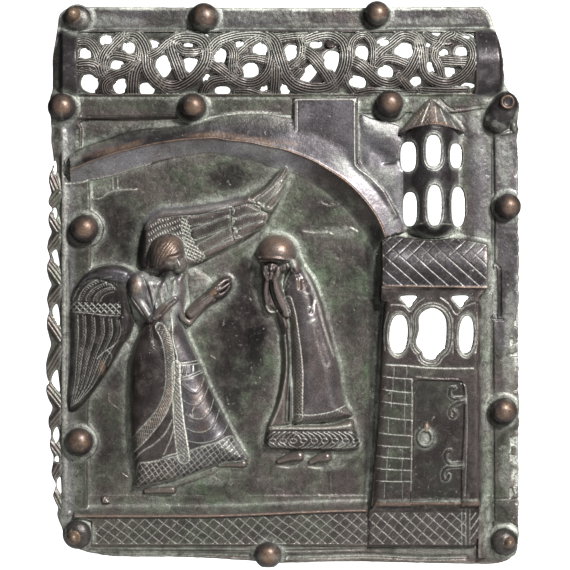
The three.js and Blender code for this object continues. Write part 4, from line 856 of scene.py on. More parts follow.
# pale bloom along the rolled top edge, partly a painted highlight
DUST_AND_HIGHLIGHT[sl] = np.maximum(DUST_AND_HIGHLIGHT[sl], 0.42 * smoothstep((4.5 - d) / 4)).astype(F)
stroke([(160, 219), (178, 216), (196, 215), (214, 213), (228, 210), (240, 206)], 1.4, -1.2, 0.25)
stroke([(249, 199.5), (256, 203), (264, 207.5), (272, 209.5)], 3.0, 1.0, 0.2)
stroke([(248, 204), (256, 208), (264, 212), (270, 214)], 2.0, -1.2)
stroke([(207, 264), (226, 254.5), (243, 246), (258, 235), (268, 222), (277, 207)], 4.0, 1.3)
stroke([(231, 209), (230.5, 222), (232, 232), (234, 242)], 1.4, -1.2, 0.2)
# coverts near the shoulder: rows of short hatches
sl, sd = sdf(spline([(150, 226), (164, 219), (180, 217), (184, 228), (186, 244), (178, 236), (160, 236), (150, 246)], closed=True), 3)
m = (sd > 0) * 1.0
lines(sl, (U[sl] * 0.90 - V[sl] * 0.42), 2.6, 0.7, 0.4, m * smoothstep(np.sin(V[sl] * 0.95 + U[sl] * 0.42 + 1.5 * n12[sl]) + 0.6), 0.34)
# net band
band = spline([(183, 216), (190, 222), (192, 234), (196, 243), (203, 252), (207, 257), (200, 263), (190, 260), (184, 250), (183, 238), (181, 226)], closed=True)
sl, sd = sdf(band, 3)
m = smoothstep(sd / 0.8)
lines(sl, U[sl] * 0.93 + V[sl] * 0.36, 3.4, 0.7, 0.6, m, 0.72)
lines(sl, U[sl] * 0.45 - V[sl] * 0.89, 3.2, 0.7, 0.6, m, 0.72)
GREEN[sl] = np.maximum(GREEN[sl], 0.5 * m).astype(F)
# flight feathers: bands running to the tip, hatched along their edges
for P, w in (([(192, 221), (208, 218), (222, 213), (230, 211)], 5), ([(196, 234), (210, 229), (222, 224), (229, 221)], 6),
             ([(203, 247), (216, 240), (228, 233), (233, 231)], 5), ([(208, 254), (222, 248), (236, 241), (240, 239)], 4),
             ([(236, 213), (248, 209), (256, 210)], 5), ([(237, 224), (250, 219), (262, 217)], 5), ([(238, 234), (252, 228), (262, 224)], 4),
             ([(254, 197), (266, 188), (276, 178), (284, 170)], 5), ([(260, 201), (270, 193), (280, 181), (286, 172)], 5), ([(268, 206), (276, 197), (283, 184)], 4)):
    P = spline(P)
    sl, d, T, S, L = near(P, w + 3)
    reg_ = wu[sl] * (d < w)
    H[sl] += (0.9 * np.sqrt(np.maximum(1 - (d / w) ** 2, 0)) * reg_).astype(F)
    edge_g = np.exp(-(((d - w + 0.4) / 0.7) ** 2)) * wu[sl]
    H[sl] -= (0.7 * edge_g).astype(F)
    CHALK_AND_HIGHLIGHT[sl] = np.maximum(CHALK_AND_HIGHLIGHT[sl], (0.3 * edge_g).astype(F))
    lines(sl, T + S * d * 0.9, 2.3, 0.65, 0.35, reg_ * (d > w * 0.55), 0.4)

WING_DN = spline([(70, 300), (73, 290), (80, 280), (88, 272.5), (100, 267), (112, 265), (122, 266.5), (131, 270), (137, 276), (134, 290), (131, 305), (134, 322),
                  (131, 334), (124, 344), (119, 352), (112, 364), (102, 380), (94, 391), (86, 402), (78, 410), (72, 412.5), (68, 410), (66.5, 396), (69, 372), (70, 340)],
                 closed=True, n=110)
sl, sd = bulge(WING_DN, 15.5, 9, base=5.5, power=0.55, k=1.2)
wd = np.zeros(U.shape, F)
wd[sl] = (sd > 0) * 1.0
bulge(spline([(78, 286), (86, 275), (100, 268), (116, 267), (130, 272), (128, 284), (114, 284), (102, 280), (90, 280), (82, 286)], closed=True), 18.5, 6, base=12, k=2)
stroke([(74, 300), (80, 288), (88, 281), (100, 279.5), (110, 283), (116, 288)], 1.6, -1.3, 0.1)
for r in (14, 21, 28, 35):
    a = np.radians(np.linspace(186, 265, 24))
    P = np.stack([116 + r * 1.05 * np.cos(a), 302 + r * 0.72 * np.sin(a)], -1)
    stroke(P, 0.9, -0.6, 0.36, smooth=False)
sl = win(76, 118, 280, 303)
rr_ = np.hypot((U[sl] - 116) / 1.05, (V[sl] - 302) / 0.72)
aa_ = np.degrees(np.arctan2((V[sl] - 302) / 0.72, (U[sl] - 116) / 1.05)) % 360
m = wd[sl] * (V[sl] < 301) * (rr_ > 15) * (rr_ < 40) * (((rr_ / 7) % 1) > 0.45)
lines(sl, aa_ * 0.55, 3.0, 0.7, 0.4, m, 0.26)
# net band, then long feathers drawn to the tip
sl = win(70, 124, 300, 316)
m = wd[sl] * smoothstep((V[sl] - 301.5 - (U[sl] - 74) * 0.03) / 0.8) * smoothstep((311 + (U[sl] - 74) * 0.08 - V[sl]) / 0.8) * (U[sl] < 121)
lines(sl, U[sl] * 0.71 + V[sl] * 0.71, 4.2, 0.8, 0.7, m, 0.58)
lines(sl, U[sl] * 0.71 - V[sl] * 0.71, 4.4, 0.8, 0.6, m, 0.5)
paint(DARK_AND_SHADE, [(75, 300), (80, 290), (88, 283), (100, 281), (114, 285), (126, 292), (131, 306), (130, 328), (118, 346), (101, 375), (82, 404), (72, 410), (68, 380), (71, 330)], 1.0, 2.0)
paint(PLAIN, [(78, 286), (86, 275), (100, 268), (116, 267), (130, 272), (128, 284), (114, 284), (102, 280), (90, 280), (82, 286)], 1.0, 2.0)
stroke([(72, 311.5), (90, 313), (106, 315), (120, 315.5)], 1.0, -0.7, 0.45)
tip = np.array([71.0, 409.0])
tops = [(78.5, 315), (86, 316), (95, 317), (104, 318), (112, 319), (120, 320)]
for k_, (a0, b0) in enumerate(tops):
    mid = (a0 - 1.5 * (k_ - 1), 350 + 2 * k_)
    P = spline([(a0, b0), (a0 + 0.5, 335), (a0 - 1.0 - 2.2 * k_, 356), (a0 * 0.45 + tip[0] * 0.55 + 1, 384), tip + (k_ * 1.4, -2 - k_ * 1.0)])
    stroke(P, 0.8, -0.6, 0.44, smooth=False)
    sl, d, T, S, L = near(P, 5)
    m = wd[sl] * (d < 3.4) * (d > 0.8) * (S > 0) * (T < L * 0.86)
    lines(sl, T + d * 1.1, 2.9, 0.7, 0.4, m, 0.16)
stroke([(119, 340), (112, 347), (104, 352), (98, 358)], 1.2, -0.7, 0.6)
stroke([(108, 349), (112, 356), (108, 366)], 1.2, -0.6, 0.3)
stroke([(122, 318), (121, 334), (117, 348), (107, 366), (94, 386), (82, 402)], 2.6, 0.9)

# painted shadow along the left edge of the upper wing
paint(GROOVE_AND_SHADE, [(137.5, 234), (142, 224), (146, 228), (147, 244), (147, 262), (145, 269), (138, 268), (136, 250)], 0.85, 2.2)
# ------------------------------------------------------------------ the winged figure: dress
ROBE = spline([(150, 316), (163, 314), (176, 300), (180, 312), (186, 332), (195, 352), (204, 374), (212, 392), (222, 412), (232, 432), (241, 448), (248, 459.5),
               (238, 462), (222, 463), (208, 469), (190, 476), (172, 481), (154, 485), (143, 486.5), (134, 487), (135, 474), (133, 456), (131, 430), (131, 400),
               (132, 370), (135, 345), (141, 330)], closed=True, n=120)
sl, sd = sdf(ROBE, 6)
u, v = U[sl], V[sl]
mid_u = 150 + (v - 320) * 0.17
side_w = np.where(u < mid_u, 11.0, 22.0)
PLAIN[sl] = np.maximum(PLAIN[sl], 0.85 * smoothstep(sd / 3) * smoothstep((u - 172) / 14)).astype(F)
DARK_AND_SHADE[sl] = np.maximum(DARK_AND_SHADE[sl], 0.5 * smoothstep(sd / 3) * smoothstep((u - 172) / 14) * np.clip(0.7 + 0.9 * n12[sl] + 0.4 * n5[sl], 0, 1)).astype(F)
# painted shade on the robe's left side
DARK_AND_SHADE[sl] = np.maximum(DARK_AND_SHADE[sl], 0.55 * smoothstep(sd / 4) * smoothstep((172 - u) / 10)).astype(F)
t = np.clip(sd / side_w, 0, 1)
top = 24.0 - 4.5 * np.clip((v - 440) / 45, 0, 1) - 3.0 * np.clip((330 - v) / 20, 0, 1)
z = np.where(sd < 0, 5 + sd * 4, 5.5 + (top - 5.5) * (1 - (1 - t) ** 2) ** 0.5)
H[sl] = smax(H[sl], z.astype(F), 1.0)
robe = np.zeros(U.shape, F)
robe[sl] = smoothstep(sd / 1.0)
bulge(spline([(136, 350), (146, 336), (156, 336), (163, 350), (166, 372), (164, 395), (156, 415), (143, 430), (135, 432), (133, 400)], closed=True), 25.5, 13, base=19, power=0.7, k=3)
# curved border that sweeps from the waist to the left hem
BORD = spline([(161, 327), (166, 336), (169.5, 350), (171, 368), (170.5, 386), (166.5, 402), (159, 416), (149, 428), (138, 440), (131, 447)])
sl, d, T, S, L = near(BORD, 9)
w = 4.2 + 1.6 * smoothstep((T - 60) / 60)
m = robe[sl] * (d < w)
H[sl] += (0.7 * m).astype(F)
for off in (-1, 1):
    g = np.exp(-(((d * S - off * w) / 0.7) ** 2)) * robe[sl]
    H[sl] -= (0.7 * g).astype(F)
    CHALK_AND_HIGHLIGHT[sl] = np.maximum(CHALK_AND_HIGHLIGHT[sl], (0.45 * g).astype(F))
lines(sl, T * 1.0 + d * 0.8 * S, 2.6, 0.65, 0.35, m * (d < w - 0.8), 0.36)
lines(sl, T * 1.0 - d * 0.8 * S, 5.2, 0.6, 0.3, m * (d < w - 0.8), 0.3)
WEAR_AND_HIGHLIGHT[sl] = np.maximum(WEAR_AND_HIGHLIGHT[sl], (0.30 * m * np.clip(0.7 + 0.6 * n12[sl], 0, 1)).astype(F))
stroke([(171, 312), (173, 326), (173.5, 340), (177.5, 356), (177, 362)], 1.4, 0.5, 0.7)
stroke([(172, 420), (166, 432), (155, 443), (141, 452), (133, 463)], 1.5, 0.5, 0.5)
stroke([(176, 418), (172, 436), (164, 454)], 1.3, 0.4, 0.5)
# vertical band with a running zigzag
VB = spline([(177, 364), (177, 382), (178, 400), (179.5, 420), (182, 440), (184.5, 457)])
sl, d, T, S, L = near(VB, 8)
w = 3.6 + 2.0 * smoothstep((T - 10) / 80)
m = robe[sl] * (d < w)
H[sl] += (0.6 * m).astype(F)
for off in (-1, 1):
    g = np.exp(-(((d * S - off * w) / 0.7) ** 2)) * robe[sl]
    H[sl] -= (0.6 * g).astype(F)
    CHALK_AND_HIGHLIGHT[sl] = np.maximum(CHALK_AND_HIGHLIGHT[sl], (0.85 * g).astype(F))
lines(sl, T + 1.3 * d * S, 4.6, 0.75, 0.5, m * (d < w - 1.0), 0.5)
lines(sl, T - 1.3 * d * S, 4.6, 0.75, 0.5, m * (d < w - 1.0), 0.42)
CHALK_AND_HIGHLIGHT[sl] = np.maximum(CHALK_AND_HIGHLIGHT[sl], (0.10 * m).astype(F))
WEAR_AND_HIGHLIGHT[sl] = np.maximum(WEAR_AND_HIGHLIGHT[sl], (0.12 * m).astype(F))
GREEN[sl] = np.maximum(GREEN[sl], (0.6 * m).astype(F))
# knee panel
for P in ([(177, 362), (186, 362), (200, 360)], [(177, 364.5), (190, 364.2), (201, 363)], [(179, 378), (190, 374.5), (202, 370)], [(180, 380), (191, 376.8), (203, 372)],
          [(184, 366), (182, 374)], [(193, 364), (193, 373)], [(188, 365), (187, 374)]):
    stroke(P, 1.1, -0.65, 0.6, region=robe)
# hanging folds on the right: nested curves between the band and the hip line
for k_, (P) in enumerate((
        [(183, 383), (188, 388), (194, 391.5)], [(197, 392), (201, 387), (204, 378)],
        [(183, 399), (190, 403), (198, 403), (204, 397), (208.5, 386)],
        [(196, 405), (193, 410), (194, 417), (190, 416)],
        [(186, 413), (193, 417), (202, 417.5), (210, 410), (214, 398)],
        [(187, 427), (196, 431), (206, 430), (214, 423), (220, 408)],
        [(189, 440), (200, 442), (212, 440), (222, 434), (228, 424)])):
    stroke(P, 3.6, 0.4, 0.0, region=robe)
    stroke(np.array(P, float) + (0.0, 2.2), 2.4, -0.32, 0.0, region=robe)
    stroke(np.array(P, float) + (0.0, 0.2), 0.8, -0.2, 0.62, region=robe)
stroke([(184, 318), (192, 340), (202, 364), (212, 388), (222, 410), (232, 430)], 4, -1.2, region=robe)
stroke([(181, 318), (188, 338), (197, 358)], 2.2, 0.7, 0.3, region=robe)
# hem: netted band along the foot of the robe
HEM = spline([(137, 472), (140, 463), (152, 461), (165, 458), (178, 455), (192, 449.5), (205, 445), (218, 441.5), (232, 436), (243, 452), (247, 458), (232, 462), (216, 465),
              (200, 471), (184, 477), (165, 481), (148, 484.5), (135, 486)], closed=True)
sl, sd = sdf(HEM, 4)
m = smoothstep(sd / 0.9)
H[sl] += (0.5 * m).astype(F)
g = np.exp(-((sd / 0.8) ** 2)) * robe[sl]
H[sl] -= (0.6 * g).astype(F)
CHALK_AND_HIGHLIGHT[sl] = np.maximum(CHALK_AND_HIGHLIGHT[sl], (0.45 * g).astype(F))
lines(sl, U[sl] * 0.82 - V[sl] * 0.57 + 0.6 * n12[sl], 4.5, 0.65, 0.42, m, 0.6)
lines(sl, U[sl] * 0.66 + V[sl] * 0.75 + 0.6 * n12[sl], 4.9, 0.65, 0.42, m, 0.6)
stroke([(163, 457), (170, 454.5), (178, 452.5)], 1.4, 0.5, 0.7)

# ------------------------------------------------------------------ the winged figure: trunk, arms, head
CHEST = spline([(129, 292), (128.5, 282), (133, 273.5), (141, 271), (152, 274), (164, 276), (176, 273), (184, 280), (186, 295), (184, 312), (176, 322), (164, 326),
                (152, 320), (143, 310), (134, 300)], closed=True, n=80)
bulge(CHEST, 20.5, 11, base=6, power=0.5, k=1.5)
dome(138, 287, 11.5, 14.5, 10, 25.5, turn=-20, k=2.5)                    # near shoulder
WEAR_AND_HIGHLIGHT_PATCHES = [(135, 286, 6, 9, 0.9)]
s_, e_, f_ = tube([(136, 292), (141, 304), (149, 316)], [8, 6, 4.2], [14, 16, 18], k=2.0)
DUST_AND_HIGHLIGHT[s_] = np.maximum(DUST_AND_HIGHLIGHT[s_], 0.30 * (e_ < 1)).astype(F)
for P, w, a_ in (([(143, 277), (148, 290), (152, 304), (154, 318)], 2.0, -1.5), ([(149, 282), (153, 296), (157, 312)], 3.2, 1.4),
                 ([(162, 281), (158, 290), (155, 302), (154, 314)], 1.8, -1.6), ([(164, 283), (161, 294), (163, 303), (159, 311)], 3.2, 0.9),
                 ([(166, 284), (167.5, 292), (164, 299), (168, 307)], 1.8, -1.2),
                 ([(175, 281), (173, 296), (172.5, 312), (174, 330)], 5.0, 1.3), ([(133, 298), (141, 309), (147, 319)], 1.8, -1.3)):
    stroke(P, w, a_)
sl, sd = sdf(CHEST, 4)
PLAIN[sl] = np.maximum(PLAIN[sl], smoothstep((sd + 1) / 2)).astype(F)
# painted shade at the neck, under the head
sl = win(150, 178, 262, 290)
GROOVE_AND_SHADE[sl] = np.maximum(GROOVE_AND_SHADE[sl], (0.75 * smoothstep(1.3 - np.hypot((U[sl] - 163.5) / 9, (V[sl] - 275.5) / 6.5))).astype(F))
tube([(138, 341), (146, 330), (153, 321)], [1.7, 2.0, 2.6], [12, 15, 19], k=0.8)         # rod below the hand
tube([(151, 320), (158, 314), (167, 306), (175, 299)], [3.4, 4.6, 4.0, 3.2], [21, 23, 24, 22], k=0.8)
dome(156, 317, 6.0, 4.2, 18, 27, turn=-35, k=1.0)
for o in (-3.0, -0.6, 1.8):
    stroke([(152 + o * 0.4, 314 + o), (158 + o * 0.4, 319 + o)], 1.0, -0.9)
stroke([(161, 314), (168, 305), (175, 300)], 1.6, -2.0)
# mantle fold between the arms, and the far sleeve
tube([(182, 273), (178, 284), (177, 296), (179, 308), (183, 318), (189, 322.5)], [2.6, 3.2, 3.4, 3.6, 3.2, 2.8], [14, 16, 17, 17, 15, 13], k=1.2, flat=0.8)
SLEEVE_H = 8.4
SLEEVE = spline([(184, 270), (194, 269), (206, 276), (212, 284), (211, 295), (203, 303), (195, 311), (190, 321), (185, 316), (183, 300)], closed=True)
bulge(SLEEVE, SLEEVE_H, 12, base=6, power=1.0, k=4)
stroke([(186, 272), (187.5, 286), (189.5, 300), (191.5, 309)], 2.6, -1.6)
tube([(191, 313), (200, 305), (210, 297)], [5.4, 5.6, 4.8], [13, 15.5, 18], k=1.0)
tube([(190, 322), (198, 312), (207, 303), (214, 299)], [2.4, 2.8, 2.8, 2.6], [11, 13, 15, 16], k=0.8)
sl = win(198, 214, 290, 306)
m = smoothstep(1 - np.hypot((U[sl] - 205) / 6.5, (V[sl] - 298.5) / 5.5))
lines(sl, U[sl] * 0.62 + V[sl] * 0.78, 2.4, 0.8, 0.7, np.clip(m * 2, 0, 1), 0.35)
tube([(209, 296), (213, 292.5), (217, 290)], [3.8, 3.6, 3.8], [19, 20.5, 21], k=0.8)            # wrist
tube([(215, 290), (220, 284.5), (224.5, 281), (228, 280)], [3.2, 3.0, 2.3, 1.7], [20, 21, 20, 18], k=0.7)
tube([(216, 291), (222, 288.5), (226.5, 285.5), (229, 283.5)], [2.5, 2.3, 1.8, 1.4], [20, 21, 20, 18], k=0.5)
tube([(214, 294.5), (220, 295), (225.5, 291.5), (229, 286.5)], [2.9, 2.7, 2.1, 1.6], [18, 18, 17, 16], k=0.6)
stroke([(216, 288), (221.5, 286), (227.5, 282)], 1.0, -1.0)
stroke([(216, 292.5), (222, 291.5), (227.5, 287)], 1.2, -1.2)

tube([(166, 284), (169, 272)], [9.5, 8.5], [11, 13], k=2.0)                                # neck
HEAD1 = np.array([167.0, 254.5])
s_, q = dome(167.0, 254.0, 18.6, 20.2, 10, 31.5, turn=8, k=1.0, power=2.3)                   # skull and face as one egg
s_f, q_f = dome(177.5, 263.5, 9.4, 11.0, 12, 27.5, turn=-14, k=2.0)                        # fuller cheek and chin
HAIRLINE = spline([(186, 246), (181, 250.5), (176, 254), (170, 255.2), (166, 257.5), (163, 262), (159, 266.5), (154, 268.5), (147, 268)])
HAIR = spline([(147, 267.5), (147.2, 256), (149.5, 247), (155, 239), (162, 235), (171, 234), (179, 237.5), (184, 243), (186, 247), (181, 250.8), (176, 254.4), (170, 255.6),
               (166, 258), (163, 262.5), (159, 267), (153, 269.5)], closed=True)
sl, sd = sdf(HAIR, 3)
hair1 = smoothstep((sd + 0.3) / 1.6)
H[sl] += (1.5 * hair1).astype(F)
flow = U[sl] * 0.62 + V[sl] * 0.30 + 0.016 * (U[sl] - 160) * (V[sl] - 250)
lines(sl, flow + 0.8 * n5[sl], 2.5, 0.9, 0.5, hair1 * smoothstep((179 - U[sl]) / 8) * smoothstep((V[sl] - 238) / 6), 0.0)
GROOVE_AND_SHADE[sl] = np.maximum(GROOVE_AND_SHADE[sl], (0.3 * hair1 * (np.abs(((flow / 2.5 + 0.5) % 1) - 0.5) < 0.16) * (U[sl] < 175) * (V[sl] > 240)).astype(F))
stroke(HAIRLINE, 2.2, 0.9, smooth=False)
stroke(HAIRLINE + np.array([0.8, 1.9]), 1.6, -1.0, smooth=False)
EYE1, NOSE1, MOUTH1 = (175.2, 261.2), (180.2, 265.4), (177.6, 269.6)                         # set by plain proportion, eyes half way down
for (eu_, ev_, ru, rv) in ((EYE1[0] - 3.6, EYE1[1] + 0.5, 2.5, 1.3), (EYE1[0] + 4.6, EYE1[1] - 0.9, 2.0, 1.2)):
    sl = win(eu_ - 5, eu_ + 5, ev_ - 4, ev_ + 4)
    q = ((U[sl] - eu_) / ru) ** 2 + ((V[sl] - ev_) / rv) ** 2
    H[sl] += (-1.5 * np.exp(-q * 0.7) + 1.0 * np.exp(-q * 4)).astype(F)
stroke([(168.6, 259.6), (171.5, 258.2), (175, 258.4)], 1.2, 0.6)
stroke([(177.6, 257.2), (180.5, 256.0), (183, 256.6)], 1.1, 0.6)
tube([(177.2, 258.5), (178.8, 262), (180.2, 265.4)], [0.9, 1.2, 1.7], [26.0, 26.4, 26.6], k=1.2)
stroke([(175.4, 269.9), (178, 269.4), (180.6, 269.2)], 1.1, -1.0)
stroke([(175.8, 271.5), (178, 271.6), (180.0, 271.1)], 1.2, 0.6)

for P, w_, a_ in (([(169.6, 261.2), (171.6, 260.8), (173.8, 261.5)], 0.9, 0.75), ([(178.2, 260.2), (180, 259.9), (181.6, 260.4)], 0.8, 0.7),
                  ([(175.2, 269.9), (178, 269.4), (180.8, 269.2)], 0.8, 0.6), ([(170, 258.6), (172.5, 257.6), (175.2, 258.0)], 0.7, 0.35)):
    sl, d, T, S, L = near(spline(P), 3)
    GROOVE_AND_SHADE[sl] = np.maximum(GROOVE_AND_SHADE[sl], (a_ * np.exp(-((d / w_) ** 2))).astype(F))
DUST_AND_HIGHLIGHT[s_f] = np.maximum(DUST_AND_HIGHLIGHT[s_f], (0.35 * (q_f < 0.9) * smoothstep((V[s_f] - 256) / 4)).astype(F))

# feet
for (a_, b_) in (((146, 491.5), (172, 490)), ((220, 465), (243, 463.8))):
    tube([a_, ((a_[0] + b_[0]) / 2, (a_[1] + b_[1]) / 2 - 0.6), b_], [2.6, 3.6, 3.8], [7.5, 8.5, 9.5], k=0.8)
    stroke([(a_[0] - 1, a_[1] + 3.6), (b_[0] + 3, b_[1] + 4.6)], 1.6, -0.8, 0.4, smooth=False)
bulge(np.array([(150, 486), (176, 480), (206, 470), (222, 466), (214, 474), (186, 484), (174, 489)], float), 9.2, 6, base=6, k=2)

# ------------------------------------------------------------------ the veiled figure
SKIRT = spline([(268, 427), (280, 425), (300, 424), (330, 423), (351, 419), (354, 427), (357, 436), (358.5, 447), (352, 450.5), (320, 451.5), (290, 450.5), (267, 448),
                (265.5, 438)], closed=True)
bulge(SKIRT, 15.5, 5, base=6, power=0.55, k=1.2)
UNDER = spline([(268, 272), (276, 274), (284, 300), (291, 330), (292, 370), (293, 422), (270, 428), (268, 424), (276, 404), (281, 380), (283, 355), (281, 332), (274, 312), (265, 306),
                (262, 285)], closed=True)
bulge(UNDER, 15.5, 7, base=6, power=0.55, k=1.2)
stroke([(284, 336), (286, 352), (286, 372), (283, 390), (278, 408), (271, 424)], 2.8, 1.8, 0.3)
stroke([(288, 330), (290, 360), (288, 392), (287, 420)], 3.4, -4.0)
stroke([(280, 336), (281.5, 358), (280, 380), (275, 402), (268, 420)], 2.6, -2.4)
CLOAK = spline([(290, 262), (300, 266), (309, 274), (315, 285), (320, 298), (324, 312), (327.5, 326), (331, 340), (335, 354), (339, 368), (340.5, 382), (342.5, 396),
                (346, 406), (352, 415), (344, 418.5), (330, 421.5), (312, 423), (294, 422.5), (292, 400), (293, 370), (292, 345), (289, 322), (285, 305), (283, 290), (286, 274)],
               closed=True, n=110)
sl, sd = bulge(CLOAK, 23.0, 17, base=6, power=0.5, k=1.0)
cl = np.zeros(U.shape, F)
cl[sl] = smoothstep(sd / 1.0)
stroke([(302, 268), (309, 280), (315, 294), (320, 310), (324, 326), (329, 342), (334, 356)], 2.4, 1.0, 0.5)
stroke([(306, 266), (314, 277), (319, 288), (322, 297)], 1.6, 1.0, 0.4)
stroke([(309, 290), (313, 300), (311, 312)], 3.6, -1.2)
stroke([(318, 330), (322, 345), (328, 362)], 5, -0.8)
for (u_, v_, ru, rv, h) in ((302, 282, 3.6, 3.0, 23), (307, 294, 2.6, 1.4, 22.5), (310, 307.5, 3.0, 1.6, 22.5), (312.3, 321, 4.2, 1.8, 22.8)):
    s_, q = dome(u_, v_, ru, rv, 18, h, turn=-20, k=2)
    if u_ > 304:
        CHALK_AND_HIGHLIGHT[s_] = np.maximum(CHALK_AND_HIGHLIGHT[s_], (0.5 * np.exp(-(q * 1.1) ** 2)).astype(F))
PLAIN[sl] = np.maximum(PLAIN[sl], 0.6 * cl[sl]).astype(F)
DARK_AND_SHADE[sl] = np.maximum(DARK_AND_SHADE[sl], 0.35 * cl[sl] * np.clip(0.6 + 0.8 * n12[sl], 0, 1)).astype(F)
paint(GROOVE_AND_SHADE, [(282, 318), (287, 330), (290.5, 350), (291, 385), (289.5, 422), (285.5, 424), (287.5, 385), (286.5, 350), (283, 330)], 0.8, 1.2)
CB = spline([(288, 300), (292, 315), (295, 335), (297.3, 355), (298.3, 375), (298, 395), (298, 416)])
sl, d, T, S, L = near(CB, 8)
w = 4.0 + 0.8 * smoothstep((T - 40) / 40)
m = cl[sl] * (d < w)
H[sl] += (0.6 * m).astype(F)
for off in (-1, 1):
    g = np.exp(-(((d * S - off * w) / 0.65) ** 2)) * cl[sl]
    H[sl] -= (0.65 * g).astype(F)
    CHALK_AND_HIGHLIGHT[sl] = np.maximum(CHALK_AND_HIGHLIGHT[sl], (0.55 * g).astype(F))
lines(sl, T + S * d * 0.9, 3.6, 0.7, 0.4, m, 0.40)
lines(sl, T - S * d * 0.9, 3.7, 0.7, 0.4, m * (T > 30), 0.40)
WEAR_AND_HIGHLIGHT[sl] = np.maximum(WEAR_AND_HIGHLIGHT[sl], (0.30 * m * np.clip(0.7 + 0.6 * n12[sl], 0, 1)).astype(F))
CH = spline([(297, 418), (312, 418.8), (328, 416.5), (340, 412.5), (349, 408)])
sl, d, T, S, L = near(CH, 7)
m = cl[sl] * (d < 4.3)
H[sl] += (0.5 * m).astype(F)
g = np.exp(-(((d * S + 4.3) / 0.65) ** 2)) * cl[sl]
H[sl] -= (0.6 * g).astype(F)
CHALK_AND_HIGHLIGHT[sl] = np.maximum(CHALK_AND_HIGHLIGHT[sl], (0.6 * g).astype(F))
lines(sl, T + np.abs(((T / 7) % 1) - 0.5) * 0 + S * d * 0.8, 3.2, 0.7, 0.4, m, 0.3)
# cuff of the gown: roll, then a band of paired leaves
stroke([(270, 427.5), (290, 427.6), (312, 428.3), (334, 427.5), (351, 425)], 3.2, 1.6, 0.5)
stroke([(268, 431), (300, 430.8), (330, 430.5), (354, 430.5)], 1.4, -1.2)
for k_ in range(9):
    u_ = 270 + k_ * 10.4
    for (a0, a1, a2) in (((u_ + 6, 431.5), (u_ + 1, 434), (u_ - 3, 438)), ((u_ + 10, 432), (u_ + 5, 434.5), (u_ + 2, 438.5)),
                         ((u_ + 2, 448), (u_ - 3, 446.5), (u_ - 7, 442.5)), ((u_ + 7, 447.5), (u_ + 1, 445.5), (u_ - 2, 442))):
        s = -1.0 if k_ >= 3 else 1.0
        P = np.array([a0, a1, a2], float)
        if s < 0:
            P[:, 0] = 2 * u_ - P[:, 0] + 2
        P[:, 1] = np.clip(P[:, 1], 431, 449)
        stroke(P, 0.9, -0.45, 0.42)
    a = np.linspace(0, 2 * np.pi, 20)
    stroke(np.stack([u_ + 3 + 3.4 * np.cos(a), 440.3 + 2.2 * np.sin(a)], -1), 0.8, -0.4, 0.40, smooth=False)
CUFF = [(268, 431), (310, 430.5), (354, 431), (357, 447), (310, 450), (268, 447)]
paint(DARK_AND_SHADE, CUFF, 0.75, 2.0)
cuff = np.zeros(U.shape, F)
paint(cuff, CUFF, 0.6, 2.0)
# feet
for (a_, b_) in (((279, 461.5), (299, 456)), ((311, 462), (326.5, 457))):
    tube([a_, ((a_[0] + b_[0]) / 2, (a_[1] + b_[1]) / 2 - 1.2), b_], [2.4, 3.8, 4.6], [8, 9.6, 11.5], k=0.8)
    stroke([(a_[0] - 2, a_[1] + 4.2), ((a_[0] + b_[0]) / 2, a_[1] + 5.6), (b_[0], b_[1] + 8.5)], 1.6, -0.8, 0.35)

# head under the veil
dome(276.6, 254.4, 20.0, 19.3, 8, 32.0, k=1.0, power=2.3)                                     # the covered crown
sl = win(255, 300, 256, 276)
under = smoothstep((V[sl] - 258.6 - 0.085 * np.maximum(U[sl] - 268, 0)) / 1.5) * smoothstep((291 - U[sl]) / 3)
H[sl] = np.where(under > 0, np.minimum(H[sl], H[sl] * (1 - under) + under * (20.5 - 0.5 * np.maximum(V[sl] - 266, 0))), H[sl]).astype(F)
VEIL = spline([(289, 256), (296, 258), (300, 264), (301.5, 271), (297, 277), (291, 274), (288, 267)], closed=True)
bulge(VEIL, 24.5, 7, base=14, power=0.6, k=1.5)
dome(272.5, 266.5, 9.6, 10.0, 12, 25.5, turn=8, k=1.2)                                       # lowered face
stroke([(257.5, 257.2), (264, 257.6), (271, 258), (279, 259), (286, 261)], 2.4, 1.3)           # brow band of the veil
for k_ in range(9):
    a = k_ / 8
    dome(259.5 + 26 * a, 257.8 + 2.6 * a * a, 1.1, 1.1, 24.5, 27.6 - 1.5 * abs(a - 0.5), k=0.4)
stroke([(262, 261.4), (270, 261.4), (281, 262.6)], 1.3, -1.1, 0.25)
for (du_, dv_) in ((-4.2, 0.2), (2.6, 0.5)):
    sl = win(272.5 + du_ - 4, 272.5 + du_ + 4, 266 + dv_ - 3, 266 + dv_ + 3)
    q = ((U[sl] - 272.5 - du_) / 2.3) ** 2 + ((V[sl] - 266 - dv_) / 1.2) ** 2
    H[sl] += (-1.1 * np.exp(-q * 0.8) + 0.8 * np.exp(-q * 4)).astype(F)
tube([(271.8, 264), (271.4, 267), (271.0, 269.6)], [0.8, 1.0, 1.5], [24.4, 25, 25.2], k=1.0)
# hair and folds at the cheek
for P in ([(283, 262), (284, 268), (282, 275)], [(287, 264), (288, 272), (284, 282)], [(291, 270), (286, 277), (284, 284)]):
    stroke(P, 2.0, 1.0, 0.0)
    stroke(np.array(P, float) + (1.6, 0.4), 1.2, -0.9, 0.35)
